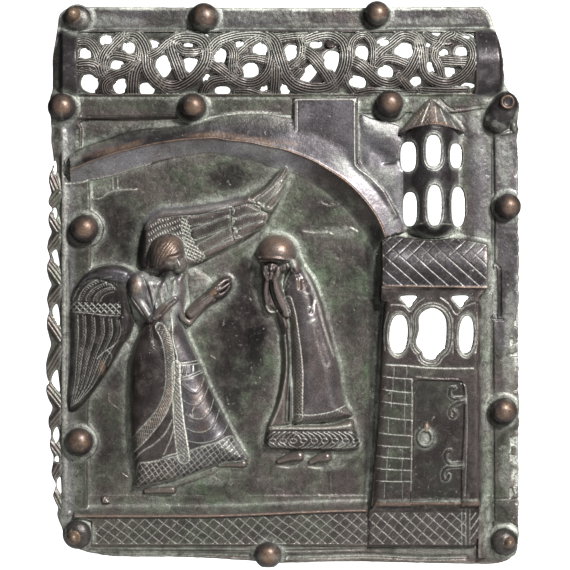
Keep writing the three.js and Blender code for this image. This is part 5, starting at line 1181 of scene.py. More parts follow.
# both forearms rise to the chin
tube([(273.5, 312.5), (270, 310.5), (267, 299), (266, 290), (267, 280), (268, 274)], [2.2, 3.2, 3.0, 2.6, 2.6, 2.4], [9, 11, 13, 16, 19, 22], k=0.9)
tube([(286.5, 313), (281.5, 302), (277, 290), (274.2, 278)], [4.8, 4.6, 3.6, 2.6], [15, 18, 20.5, 23], k=0.9)
stroke([(270.6, 276), (271.5, 288), (274.5, 300), (281, 312)], 2.2, -4.2)
tube([(267.6, 279), (265.4, 273), (265.0, 267.5)], [2.6, 2.6, 2.0], [21, 23.6, 24.2], k=0.7)               # hands
tube([(274.4, 280), (277.2, 274), (278.2, 268.5)], [2.6, 2.8, 2.2], [23, 25, 25], k=0.7)
tube([(270.6, 278), (271.6, 273.8)], [2.2, 1.8], [22.6, 24.4], k=0.6)
for P in ([(263.4, 270), (265.4, 275)], [(266.4, 268.5), (268, 274)], [(275.6, 269.6), (274.6, 276)], [(279.6, 270.6), (278.2, 276.6)]):
    stroke(P, 0.9, -0.8, 0.2)
tube([(297.5, 280), (302, 285)], [4.2, 3.4], [19, 18.5], k=2.0)                                        # elbow under the cloak
s_ = win(290, 308, 274, 292)
WEAR_AND_HIGHLIGHT[s_] = np.maximum(WEAR_AND_HIGHLIGHT[s_], (0.8 * np.exp(-(((U[s_] - 300) / 4.5) ** 2 + ((V[s_] - 284) / 4.5) ** 2))).astype(F))
sl = win(276, 296, 274, 296)
m = smoothstep(1 - np.hypot((U[sl] - 286.5) / 7.5, (V[sl] - 283) / 9.5))
lines(sl, U[sl] * 0.8 + V[sl] * 0.6, 3.1, 0.8, 0.5, np.clip(2 * m, 0, 1), 0.4)
lines(sl, U[sl] * 0.8 - V[sl] * 0.6, 3.3, 0.8, 0.4, np.clip(2 * m, 0, 1), 0.35)
stroke([(293, 270), (299, 278), (300, 288)], 3.4, -1.6)
stroke([(265, 306), (270, 312), (277, 311)], 2.4, 1.6, 0.5)

# ------------------------------------------------------------------ small casting marks of the ground
for (P, w, a_) in (([(300, 176), (292, 190), (286, 204), (276, 218), (268, 230), (252, 242), (236, 252)], 5.0, 0.5),
                   ([(303, 232), (315, 233.5), (328, 233), (334, 235), (342, 231.5), (350, 228.5), (357, 232)], 2.2, 0.8),
                   ([(303, 197), (310, 190), (320, 186), (331, 194), (338, 204), (330, 206), (318, 203)], 2.4, 0.5),
                   ([(331, 480), (330, 474), (336, 468.5), (344, 466)], 1.8, 0.6), ([(330, 480), (331, 492)], 1.6, 0.5),
                   ([(215, 470.5), (240, 470), (238, 478), (218, 478.5), (214, 471)], 2.2, -0.5),
                   ([(122, 474), (127, 477.5)], 1.6, 0.8), ([(131, 487), (133, 484)], 1.6, 0.6),
                   ([(129, 368), (129, 390), (128.5, 415), (130, 440)], 1.4, 0.6), ([(108, 394), (109, 402), (117, 408.5)], 1.4, 0.5),
                   ([(226, 398), (228, 405), (234, 404)], 2.0, 0.6), ([(210, 356), (215, 359)], 1.6, 0.5),
                   ([(357, 505), (366, 490), (367, 300)], 3.0, 0.3)):
    stroke(P, w, a_ * 0.7)

# ------------------------------------------------------------------ soft wax fillets where the relief meets the ground
mean4 = blur(H, 2.6)
lowland = smoothstep((13.0 - H) / 3.0) * smoothstep((V - 100) / 3)
H += (0.55 * np.clip(mean4 - H - 0.5, 0, 7) * lowland).astype(F)

# ------------------------------------------------------------------ edges of openings and of the sheet
M = np.minimum(M, HOLE)
rim = np.clip(1 - M / 1.7, 0, 1)
H -= (1.7 * (1 - np.sqrt(np.maximum(1 - rim * rim, 0)))).astype(F)
H = np.maximum(H, 2.0).astype(F)
H += (0.05 * n2).astype(F)

# back depth: flat, hollowed behind the bar and the drum
B = np.zeros(U.shape, F)
hol = smoothstep((U - 79.5) / 1.5) * smoothstep((474.5 - U) / 1.5)
sv = np.clip((V - 36) / (90.0 - 36), 0, 1)
B = np.maximum(B, hol * (V > 36) * (V < 90) * (5.0 + 18.5 * np.maximum(np.sin(np.pi * sv), 0) ** 0.8))
x = (U - 433) / 28.0
B = np.maximum(B, (np.abs(x) < 1) * (V > 127) * (V < 227) * (5 + 19.5 * np.sqrt(np.maximum(1 - x * x, 0))))
B = np.minimum(B, H - 2.2).astype(F)

# ------------------------------------------------------------------ colour fields
mean1, mean3, mean6 = blur(H, 0.9), blur(H, 3.0), blur(H, 6.0)
relief = smoothstep((H - 11.5) / 5.0)
cav = np.clip((mean6 - H - 0.32) / 3.5, 0, 1)
ridge = np.clip((H - mean1) / 0.35, 0, 1) * 0.5 + np.clip((H - mean3) / 1.6, 0, 1) * 0.6
ridge = (ridge * (1 - 0.8 * wd) * (1 - 0.35 * wu) * (1 - cuff)).astype(F)
DUST_AND_HIGHLIGHT = np.maximum(DUST_AND_HIGHLIGHT, cav * (0.85 + 0.4 * n12) * (1 - 0.6 * relief)).astype(F)
DUST_AND_HIGHLIGHT = np.maximum(DUST_AND_HIGHLIGHT, 0.9 * np.clip(1 - HOLE / 2.6, 0, 1) * (HOLE > 0)).astype(F)
edge_in = np.clip(1 - np.abs(M) / 3.0, 0, 1) * (HOLE > 6)
DUST_AND_HIGHLIGHT = np.maximum(DUST_AND_HIGHLIGHT, edge_in * (0.45 + 0.5 * n5)).astype(F)
GREEN = np.maximum(GREEN, (1 - relief) * np.clip(0.55 + 0.65 * n30 + 0.40 * n12, 0, 1)).astype(F)


def stain(field, u, v, ru, rv, amount, turn=0.0, rag=0.35):
    """A soft ragged patch."""
    r = max(ru, rv) * 1.6
    sl = win(u - r, u + r, v - r, v + r)
    a = math.radians(turn)
    du, dv = U[sl] - u, V[sl] - v
    x = (du * math.cos(a) + dv * math.sin(a)) / ru
    y = (-du * math.sin(a) + dv * math.cos(a)) / rv
    q = np.sqrt(x * x + y * y) + rag * n12[sl] + rag * 0.4 * n5[sl]
    field[sl] = np.maximum(field[sl], (amount * smoothstep((1.25 - q) / 0.7)).astype(F))


def region(field, P, amount, soft=2.0):
    sl, sd = sdf(spline(P, closed=True), soft + 2)
    field[sl] = np.maximum(field[sl], (amount * smoothstep((sd + soft) / (2 * soft))).astype(F))


# dark stains; (140,238), (150,385), (372,330) and (372,470) are painted shadow along the left sides of the upper wing,
# robe and tower wall, and (168,275) painted shade at the neck
for (u_, v_, ru, rv, a_, t_) in [
        (240, 345, 26, 60, 0.95, 0), (110, 215, 26, 26, 0.7, 20), (245, 290, 16, 34, 0.9, 10), (225, 395, 22, 30, 0.7, 0), (355, 290, 12, 50, 0.55, 0),
        (110, 440, 18, 40, 0.6, 0), (100, 420, 14, 40, 0.4, 0), (330, 220, 20, 22, 0.35, 30), (250, 440, 20, 22, 0.5, 0), (345, 480, 18, 20, 0.45, 0),
        (130, 240, 12, 26, 0.9, 10), (64, 60, 9, 28, 0.9, 0), (432, 180, 22, 60, 0.8, 0), (438, 430, 26, 56, 0.6, 0), (434, 262, 62, 34, 1.0, 0),
        (95, 345, 28, 56, 0.95, -10), (100, 288, 22, 12, 0.8, 0), (210, 226, 40, 12, 0.5, -18), (150, 385, 20, 52, 0.85, 0), (168, 275, 9, 10, 0.7, 0), (229, 177, 26, 15, 0.85, -4), (322, 208, 24, 16, 0.6, 10), (255, 336, 13, 24, 1.0, 0),
        (500, 118, 14, 16, 0.7, 0), (140, 238, 5, 26, 0.9, 0), (506, 290, 10, 26, 0.75, 0), (504, 340, 12, 24, 0.45, 0), (146, 311, 6, 9, 0.6, 30), (168, 306, 12, 4, 0.6, -40), (320, 122, 14, 26, 0.5, 0),
        (372, 470, 8, 60, 0.5, 0), (372, 330, 6, 70, 0.6, 0), (410, 298, 34, 5, 0.5, 0), (150, 447, 20, 20, 0.5, 0), (250, 160, 40, 5, 0.5, 8)]:
    stain(DARK_AND_SHADE, u_, v_, ru, rv, a_, t_)
stain(DARK_AND_SHADE, 150, 133, 62, 9, 0.85, -8)
stain(DARK_AND_SHADE, 258, 127, 46, 12, 0.85, 3)
stain(DARK_AND_SHADE, 318, 140, 26, 14, 0.35, 28)
stain(GROOVE_AND_SHADE, 150, 133, 62, 9, 0.34, -8)
stain(GROOVE_AND_SHADE, 258, 127, 46, 12, 0.34, 3)
stain(GROOVE_AND_SHADE, 205, 400, 22, 56, 0.16, -20)
sheet_edge = np.maximum.reduce([smoothstep((37 - V) / 4), smoothstep((V - 96) / 4) * smoothstep((121 - V) / 4), smoothstep((92 - U) / 4) * smoothstep((U - 74) / 3), smoothstep((U - 489) / 4), smoothstep((V - 547) / 3)])
DARK_AND_SHADE = np.maximum(DARK_AND_SHADE, 0.62 * sheet_edge * (H < 13) * np.clip(0.60 + 0.75 * n30 + 0.3 * n12, 0, 1)).astype(F)
PLAIN = np.maximum(PLAIN, 0.75 * smoothstep((37 - V) / 4) * (H < 13) * np.clip(0.55 + 0.9 * n60 + 0.4 * n12, 0, 1)).astype(F)
region(DUST_AND_HIGHLIGHT, [(60.5, 150), (66, 146), (68, 300), (67, 540), (60.5, 540)], 0.6, 1.5)
region(PLAIN, [(62, 130), (74, 130), (74, 300), (73, 520), (62, 530)], 0.7, 2.5)
region(PLAIN, [(492, 128), (516, 128), (520, 200), (518, 330), (492, 330)], 0.7, 5.0)
for (u_, v_, ru, rv, a_, t_) in [
        (210, 190, 24, 12, 0.8, -8), (200, 325, 12, 16, 0.9, 20), (242, 250, 14, 12, 0.8, 0), (340, 270, 16, 40, 0.7, 10), (345, 380, 12, 40, 0.8, 0), (110, 412, 16, 20, 0.8, 20),
        (150, 105, 40, 6, 0.8, 0), (240, 103, 36, 6, 0.8, 0), (105, 104, 16, 6, 0.7, 0), (270, 165, 20, 8, 0.5, 20), (380, 118, 14, 8, 0.6, 0), (476, 180, 10, 50, 0.4, 0),
        (182, 300, 6, 30, 0.8, 0), (215, 235, 24, 12, 0.5, -25), (262, 205, 14, 14, 0.6, -40), (260, 470, 40, 10, 0.5, 0), (435, 98, 30, 6, 0.6, 0), (350, 320, 10, 30, 0.6, 0),
        (396, 430, 16, 60, 0.85, 0), (432, 398, 20, 22, 0.8, 0), (438, 480, 22, 26, 0.8, 0), (428, 440, 16, 16, 0.6, 0), (430, 370, 40, 6, 0.7, 0)]:
    stain(GREEN, u_, v_, ru, rv, a_, t_)
# pale bloom; (378,127), (382,177) and (345,166) on the spandrel and arch face, and (480,120), (478,150) at the top of
# the span right of the drum, are painted highlight
for (u_, v_, ru, rv, a_, t_) in [
        (378, 127, 18, 9, 0.5, 25), (382, 177, 18, 10, 0.6, 25), (345, 166, 18, 10, 0.3, 35), (480, 120, 12, 14, 0.6, 0), (478, 150, 10, 16, 0.35, 0), (476, 238, 12, 10, 0.5, 0),
        (494, 276, 4, 44, 0.75, 0), (504, 160, 8, 30, 0.45, 0), (448, 116, 12, 10, 0.4, 30), (394, 205, 8, 22, 0.35, 0),
        (72, 330, 8, 70, 0.45, 0), (70, 150, 12, 20, 0.5, 0), (74, 200, 8, 14, 0.4, 0), (74, 490, 10, 30, 0.4, 0), (485, 360, 6, 90, 0.55, 0), (485, 520, 5, 40, 0.7, 0),
        (510, 350, 6, 60, 0.5, 0), (508, 470, 10, 34, 0.4, 0), (160, 553, 70, 6, 0.5, 0), (320, 556, 60, 5, 0.45, 0), (430, 552, 50, 6, 0.5, 0), (90, 556, 20, 6, 0.5, 0),
        (170, 30, 90, 4, 0.5, 0), (300, 26, 60, 4, 0.4, 0), (420, 22, 50, 5, 0.35, 0), (110, 22, 30, 7, 0.5, 0), (260, 16, 50, 8, 0.3, 0), (193, 286, 7, 12, 0.45, 10), (200, 272, 10, 3, 0.4, 15),
        (171, 303, 9, 24, 0.9, 0), (148, 280, 12, 7, 0.75, 0), (160, 296, 8, 14, 0.7, 0), (204, 372, 4, 20, 0.4, -25), (222, 408, 4, 22, 0.45, -25), (280, 185, 10, 22, 0.35, 40), (290, 263, 6, 5, 0.9, 0), (236, 448, 14, 10, 0.45, 0), (345, 450, 12, 8, 0.4, 0),
        (330, 465, 20, 6, 0.4, 0), (200, 480, 30, 6, 0.4, 0), (265, 150, 30, 5, 0.3, 10), (100, 190, 20, 6, 0.4, 0), (335, 232, 24, 6, 0.45, 0), (180, 127, 60, 4, 0.35, -6), (90, 200, 4, 10, 0.4, 0), (91, 270, 4, 16, 0.35, 0)]:
    stain(DUST_AND_HIGHLIGHT, u_, v_, ru, rv, a_, t_)
# copper wear; the patches on the two heads, the near shoulder and the cone, (172,243), (166,250), (280,243), (276,252),
# (136,286) and (430,116), are also painted highlight
for (u_, v_, ru, rv, a_) in [(136, 286, 6, 9, 0.8), (172, 243, 9, 7, 0.7), (166, 250, 15, 14, 0.5), (280, 243, 14, 9, 0.75), (276, 252, 19, 10, 0.5), (213, 292, 4, 4, 1.0), (430, 116, 12, 10, 0.4),
                             (196, 400, 5, 9, 0.4), (203, 428, 6, 5, 0.35), (102, 368, 4, 9, 0.4), (167, 307, 8, 5, 0.4), (200, 405, 9, 30, 0.2), (318, 360, 12, 50, 0.12), (215, 136, 30, 4, 0.5), (162, 315, 10, 6, 0.3)]:
    stain(WEAR_AND_HIGHLIGHT, u_, v_, ru, rv, a_, 0, 0.15)
# painted shadow down the left side of the tower wall
region(GROOVE_AND_SHADE, [(369, 226), (381, 232), (380, 262), (381, 288), (386, 298), (383, 340), (379.5, 380), (376, 430), (372, 470), (370, 500), (363, 500), (366, 450), (368.5, 400),
                (371, 350), (373, 310), (369, 285), (366, 255)], 0.85, 3.0)
# black along the groove under the flange's lower edge, partly painted shade of the step
region(GROOVE_AND_SHADE, [(79, 117.6), (182, 115.8), (182, 118.4), (79, 120.6)], 0.85, 0.9)
stain(WEAR_AND_HIGHLIGHT, 112, 150, 30, 4, 0.55, -14)
stain(WEAR_AND_HIGHLIGHT, 262, 141, 40, 3, 0.45, 5)
WEAR_AND_HIGHLIGHT = np.clip(WEAR_AND_HIGHLIGHT, 0, 1)
stain(GROOVE_AND_SHADE, 255, 336, 10, 19, 0.7, 0, 0.5)
stain(GROOVE_AND_SHADE, 232, 178, 16, 9, 0.3, -4, 0.5)
GREEN = (GREEN * (1 - PLAIN)).astype(F)
# where the pale bloom is taken off: on parts of the drum, cone, arch face, wings, figures and lean-to roof, in the
# crevice right of the arch, which stays dark, and in the painted shadows beside the tower wall, bosses and lug
off_dust = np.zeros(U.shape, F)
for P, a_, soft in (([(462, 128), (472, 134), (473, 232), (462, 232)], 0.75, 2.5), ([(436, 97), (474, 132), (474, 142), (462, 134), (432, 104)], 0.7, 2.5),
                    ([(379, 165.5), (386, 162), (394, 160.5), (400.5, 157), (401, 163.5), (392, 165.5)], 1.0, 1.5),
                    ([(372, 226), (382, 230), (383, 300), (378, 380), (366, 500), (360, 500), (366, 400), (368, 300)], 0.7, 3.0),
                    ([(396, 140), (404, 140), (404, 232), (396, 232)], 0.6, 2.5), ([(151, 318), (159, 309), (168, 302), (176, 296), (179, 301), (170, 311), (158, 323)], 0.85, 1.5),
                    ([(300, 257), (314, 268), (328, 296), (337, 330), (345, 368), (352, 402), (345, 404), (334, 370), (326, 335), (316, 300), (306, 276), (296, 264)], 0.5, 3.0),
                    ([(180, 318), (196, 340), (216, 382), (236, 424), (250, 456), (244, 458), (228, 426), (208, 386), (190, 346), (178, 322)], 0.35, 2.5)):
    region(off_dust, P, a_, soft)
for P, a_, soft in (([(88, 146), (130, 131), (180, 127.5), (215, 120), (255, 116), (300, 122), (330, 131), (348, 146), (330, 152), (290, 144), (240, 138), (200, 136), (150, 141), (100, 154)], 0.7, 3.0),
                    ([(74, 272), (90, 256), (112, 262), (122, 290), (118, 350), (96, 400), (78, 410), (72, 380)], 0.35, 3.0)):
    region(off_dust, P, a_, soft)
off_dust = np.maximum(off_dust, SHADE)
net = smoothstep((V - 504) / 3) * smoothstep((547 - V) / 2) * smoothstep((U - 97) / 2) * smoothstep((470 - U) / 2)
DUST_AND_HIGHLIGHT = DUST_AND_HIGHLIGHT * (1 - 0.42 * net) + 0.05 * net
DUST_AND_HIGHLIGHT = DUST_AND_HIGHLIGHT * (1 - 0.14 * inner_bar) * (1 - 0.30 * wd)
DARK_AND_SHADE = np.maximum(DARK_AND_SHADE, 0.85 * wd * np.clip(0.85 + 0.5 * n12, 0, 1))
off_dust = np.maximum(off_dust, 0.22 * smoothstep((U - 388) / 3) * smoothstep((490 - U) / 3) * smoothstep((V - 240) / 3) * smoothstep((290 - V) / 3))
for (u_, v_, ru, rv, a_) in [(515, 474, 3.6, 5.5, 0.55), (512, 456, 3.0, 3.6, 0.45), (514, 492, 3.2, 4.0, 0.40), (504, 447, 4.5, 2.2, 0.18), (517, 362, 2.4, 7, 0.35), (516.5, 402, 2.4, 6, 0.3)]:
    stain(CHALK_AND_HIGHLIGHT, u_, v_, ru, rv, a_, 0, 0.55)
rim_top = smoothstep((4.2 - M) / 2.4) * (M > 0) * (V < 32) * (U < 500) * (H < 13)
CHALK_AND_HIGHLIGHT = np.maximum(CHALK_AND_HIGHLIGHT, 0.55 * rim_top * np.clip(0.45 + 1.0 * n12 + 0.5 * n5, 0, 1)).astype(F)
DUST_AND_HIGHLIGHT = np.maximum(DUST_AND_HIGHLIGHT, 0.8 * rim_top)
tame = np.zeros(U.shape, F)
region(tame, [(148, 318), (186, 322), (236, 440), (226, 462), (160, 470)], 0.5, 5.0)
ridge = (ridge * (1 - tame)).astype(F)
DUST_AND_HIGHLIGHT = (DUST_AND_HIGHLIGHT * (1 - off_dust)).astype(F)
DARK_AND_SHADE = np.clip(DARK_AND_SHADE, 0, 1).astype(F)
# painted shadows of the bosses and the lug: chalk thinned and black laid in
CHALK_AND_HIGHLIGHT = (CHALK_AND_HIGHLIGHT * (1 - 0.85 * SHADE)).astype(F)
GROOVE_AND_SHADE = np.maximum(GROOVE_AND_SHADE, 0.92 * SHADE).astype(F)
print("relief built", H.shape, float(H.max()))

# ------------------------------------------------------------------ meshing
# the frame's box fixes where the sheet datum lies: u 46.382..520 and v 2.5..564.5 are the CAD body's sides, 34 its depth
SX = (hi0.x - lo0.x) / (520.0 - 46.382)
SZ = (hi0.z - lo0.z) / (564.5 - 2.5)
SY = (hi0.y - lo0.y) / 34.0


def place(u, v, h):
    return np.stack([lo0.x + (u - 46.382) * SX, hi0.y - h * SY, hi0.z - (v - 2.5) * SZ], -1)


def clip(Mg, Zg, ug, vg):
    """Triangles of the grid where Mg > 0, cut along Mg = 0, and the cut's own edges."""
    eps = 0.06 * float(ug[1] - ug[0])
    Mg = np.where(np.abs(Mg) < eps, np.where(Mg >= 0, eps, -eps), Mg)
    ins = Mg > 0
    n = int(ins.sum())
    vid = np.full(Mg.shape, -1, np.int64)
    vid[ins] = np.arange(n)
    gu_, gv_ = np.meshgrid(ug, vg, indexing="ij")
    P = [np.stack([gu_[ins], gv_[ins], Zg[ins]], -1)]
    cu = ins[:-1] != ins[1:]
    cv = ins[:, :-1] != ins[:, 1:]
    eu = np.full(cu.shape, -1, np.int64)
    ev = np.full(cv.shape, -1, np.int64)
    nu_, nv2 = int(cu.sum()), int(cv.sum())
    eu[cu] = n + np.arange(nu_)
    ev[cv] = n + nu_ + np.arange(nv2)
    t = (Mg[:-1] / (Mg[:-1] - Mg[1:] + 1e-12))[cu]
    P.append(np.stack([gu_[:-1][cu] + t * (gu_[1:] - gu_[:-1])[cu], gv_[:-1][cu], Zg[:-1][cu] * (1 - t) + Zg[1:][cu] * t], -1))
    t = (Mg[:, :-1] / (Mg[:, :-1] - Mg[:, 1:] + 1e-12))[cv]
    P.append(np.stack([gu_[:, :-1][cv], gv_[:, :-1][cv] + t * (gv_[:, 1:] - gv_[:, :-1])[cv], Zg[:, :-1][cv] * (1 - t) + Zg[:, 1:][cv] * t], -1))
    P = np.concatenate(P)
    ids = {"a": vid[:-1, :-1], "b": vid[1:, :-1], "c": vid[1:, 1:], "d": vid[:-1, 1:], "ab": eu[:, :-1], "bc": ev[1:], "cd": eu[:, 1:], "da": ev[:-1]}
    bit = {"a": 1, "b": 2, "c": 4, "d": 8}
    case = ins[:-1, :-1] * 1 + ins[1:, :-1] * 2 + ins[1:, 1:] * 4 + ins[:-1, 1:] * 8
    tris, segs = [], []
    for k in range(1, 16):
        m = case == k
        if not m.any():
            continue
        if k == 5:
            polys = [["a", "ab", "da"], ["c", "cd", "bc"]]
        elif k == 10:
            polys = [["b", "bc", "ab"], ["d", "da", "cd"]]
        else:
            poly = []
            for tok in ("a", "ab", "b", "bc", "c", "cd", "d", "da"):
                if len(tok) == 1:
                    if k & bit[tok]:
                        poly.append(tok)
                elif bool(k & bit[tok[0]]) != bool(k & bit[tok[1]]):
                    poly.append(tok)
            polys = [poly]
        for poly in polys:
            poly = poly[::-1]
            q = [ids[tok][m] for tok in poly]
            for s in range(1, len(q) - 1):
                tris.append(np.stack([q[0], q[s], q[s + 1]], -1))
            for s in range(len(poly)):
                if len(poly[s]) == 2 and len(poly[(s + 1) % len(poly)]) == 2:
                    segs.append(np.stack([q[s], q[(s + 1) % len(q)]], -1))
    return P, np.concatenate(tris), np.concatenate(segs)


def sample(A, u, v):
    x = np.clip((u - U0) / STEP, 0, NU - 1.001)
    y = np.clip((v - V0) / STEP, 0, NV - 1.001)
    i, j = x.astype(int), y.astype(int)
    fx, fy = x - i, y - j
    return (A[i, j] * (1 - fx) + A[i + 1, j] * fx) * (1 - fy) + (A[i, j + 1] * (1 - fx) + A[i + 1, j + 1] * fx) * fy


def mesh_of(name, co, tri):
    m = bpy.data.meshes.new(name)
    m.vertices.add(len(co))
    m.vertices.foreach_set("co", np.ascontiguousarray(co, np.float32).ravel())
    m.loops.add(tri.size)
    m.loops.foreach_set("vertex_index", tri.ravel().astype(np.int32))
    m.polygons.add(len(tri))
    m.polygons.foreach_set("loop_start", np.arange(0, tri.size, 3, dtype=np.int32))
    m.update(calc_edges=True)
    return m


def thin(mesh, count):
    """The mesh with about count triangles, fewest where it is plain; returns vertices and triangles."""
    o = bpy.data.objects.new("thin", mesh)
    bpy.context.scene.collection.objects.link(o)
    mod = o.modifiers.new("fewer", "DECIMATE")
    mod.ratio = min(1.0, count / max(len(mesh.polygons), 1))
    out = bpy.data.meshes.new_from_object(o.evaluated_get(bpy.context.evaluated_depsgraph_get()))
    co = np.empty(len(out.vertices) * 3, np.float32)
    out.vertices.foreach_get("co", co)
    nor = np.empty(len(out.vertices) * 3, np.float32)
    out.vertices.foreach_get("normal", nor)
    out.calc_loop_triangles()
    tri = np.empty(len(out.loop_triangles) * 3, np.int32)
    out.loop_triangles.foreach_get("vertices", tri)
    bpy.data.objects.remove(o)
    bpy.data.meshes.remove(mesh)
    bpy.data.meshes.remove(out)
    return co.reshape(-1, 3), nor.reshape(-1, 3), tri.reshape(-1, 3)


P, T, S = clip(M, H, ua, va)
gMu, gMv = np.gradient(M, STEP)
cu_, cv_ = np.unique(S), None
back_id = np.full(len(P), -1, np.int64)
back_id[cu_] = np.arange(len(cu_))
pu, pv = P[cu_, 0], P[cu_, 1]
gb = np.stack([sample(gMu, pu, pv), sample(gMv, pu, pv)], -1)
gb /= np.maximum(np.linalg.norm(gb, axis=1, keepdims=True), 1e-3)
zb = sample(B, pu, pv)
r1 = np.stack([pu, pv, np.minimum(zb + 0.7, P[cu_, 2] - 0.3)], -1)
r2 = np.stack([pu + gb[:, 0], pv + gb[:, 1], zb + 0.06], -1)
n0, n1 = len(P), len(P) + len(cu_)
a_, b_ = S[:, 0], S[:, 1]
a1, b1 = n0 + back_id[a_], n0 + back_id[b_]
a2, b2 = n1 + back_id[a_], n1 + back_id[b_]
walls = np.concatenate([np.stack([b_, a_, a1], -1), np.stack([b_, a1, b1], -1), np.stack([b1, a1, a2], -1), np.stack([b1, a2, b2], -1)])
ALLP = np.concatenate([P, r1, r2])
ALLT = np.concatenate([T, walls])
co, nor, tri = thin(mesh_of("skin", place(ALLP[:, 0], ALLP[:, 1], ALLP[:, 2]), ALLT), TRIANGLES)
print("skin", len(ALLT), "->", len(tri))
cu = (co[:, 0] - lo0.x) / SX + 46.382
cvv = (hi0.z - co[:, 2]) / SZ + 2.5
ch = (hi0.y - co[:, 1]) / SY
gu, gv = np.gradient(H, STEP)
fine = np.stack([-sample(gu, cu, cvv), -np.ones(len(cu)), sample(gv, cu, cvv)], -1)
fine /= np.linalg.norm(fine, axis=1, keepdims=True)
on_front = (np.abs(ch - sample(H, cu, cvv)) < 0.5) & ((fine * nor).sum(1) > 0.35)
nor = np.where(on_front[:, None], fine, nor)
FIELDS = {"chalk_and_highlight": CHALK_AND_HIGHLIGHT, "wear_and_highlight": WEAR_AND_HIGHLIGHT, "green": GREEN, "dark_and_shade": DARK_AND_SHADE, "dust_and_highlight": DUST_AND_HIGHLIGHT, "groove_and_shade": GROOVE_AND_SHADE, "ridge": ridge, "plain": PLAIN}


def skin_piece(name, keep):
    t = tri[keep]
    used, inv = np.unique(t, return_inverse=True)
    m = mesh_of(name, co[used], inv.reshape(-1, 3))
    m.shade_smooth()
    m.normals_split_custom_set_from_vertices(nor[used].astype(np.float32))
    for key, A in FIELDS.items():
        at = m.attributes.new(key, "FLOAT", "POINT")
        at.data.foreach_set("value", np.clip(sample(A, cu[used], cvv[used]), 0, 1).astype(np.float32))
    o = bpy.data.objects.new(name, m)
    bpy.context.scene.collection.objects.link(o)
    return o


# one casting, stored in sheets of under 190,000 triangles that meet edge to edge
mid_u, mid_v = cu[tri].mean(1), cvv[tri].mean(1)
sheets = [mid_v < 98, (mid_v >= 98) & (mid_u >= 367), (mid_v >= 98) & (mid_u < 367)]
k = 0
while k < len(sheets):
    if sheets[k].sum() > 190000:
        w = sheets[k]
        along = mid_u if np.ptp(mid_u[w]) > np.ptp(mid_v[w]) else mid_v
        cut = np.median(along[w])
        sheets[k:k + 1] = [w & (along < cut), w & (along >= cut)]
    else:
        k += 1
pieces = [skin_piece("relief_%d" % (k + 1), w) for k, w in enumerate(sheets)]
print("sheets", [int(w.sum()) for w in sheets])

q = 4
Pb, Tb, _ = clip(M[::q, ::q] - 0.5, (B + 0.0)[::q, ::q], ua[::q], va[::q])
cb, nb, tb = thin(mesh_of("back", place(Pb[:, 0], Pb[:, 1], Pb[:, 2]), Tb[:, ::-1].copy()), 22000)
mb = mesh_of("back", cb, tb)
mb.shade_smooth()
mb.set_sharp_from_angle(angle=math.radians(35))
back = bpy.data.objects.new("back", mb)
bpy.context.scene.collection.objects.link(back)
pieces.append(back)


# ------------------------------------------------------------------ material
PLAIN_COAT = {"green": 0.42, "dust_and_highlight": 0.09, "dark_and_shade": 0.15}


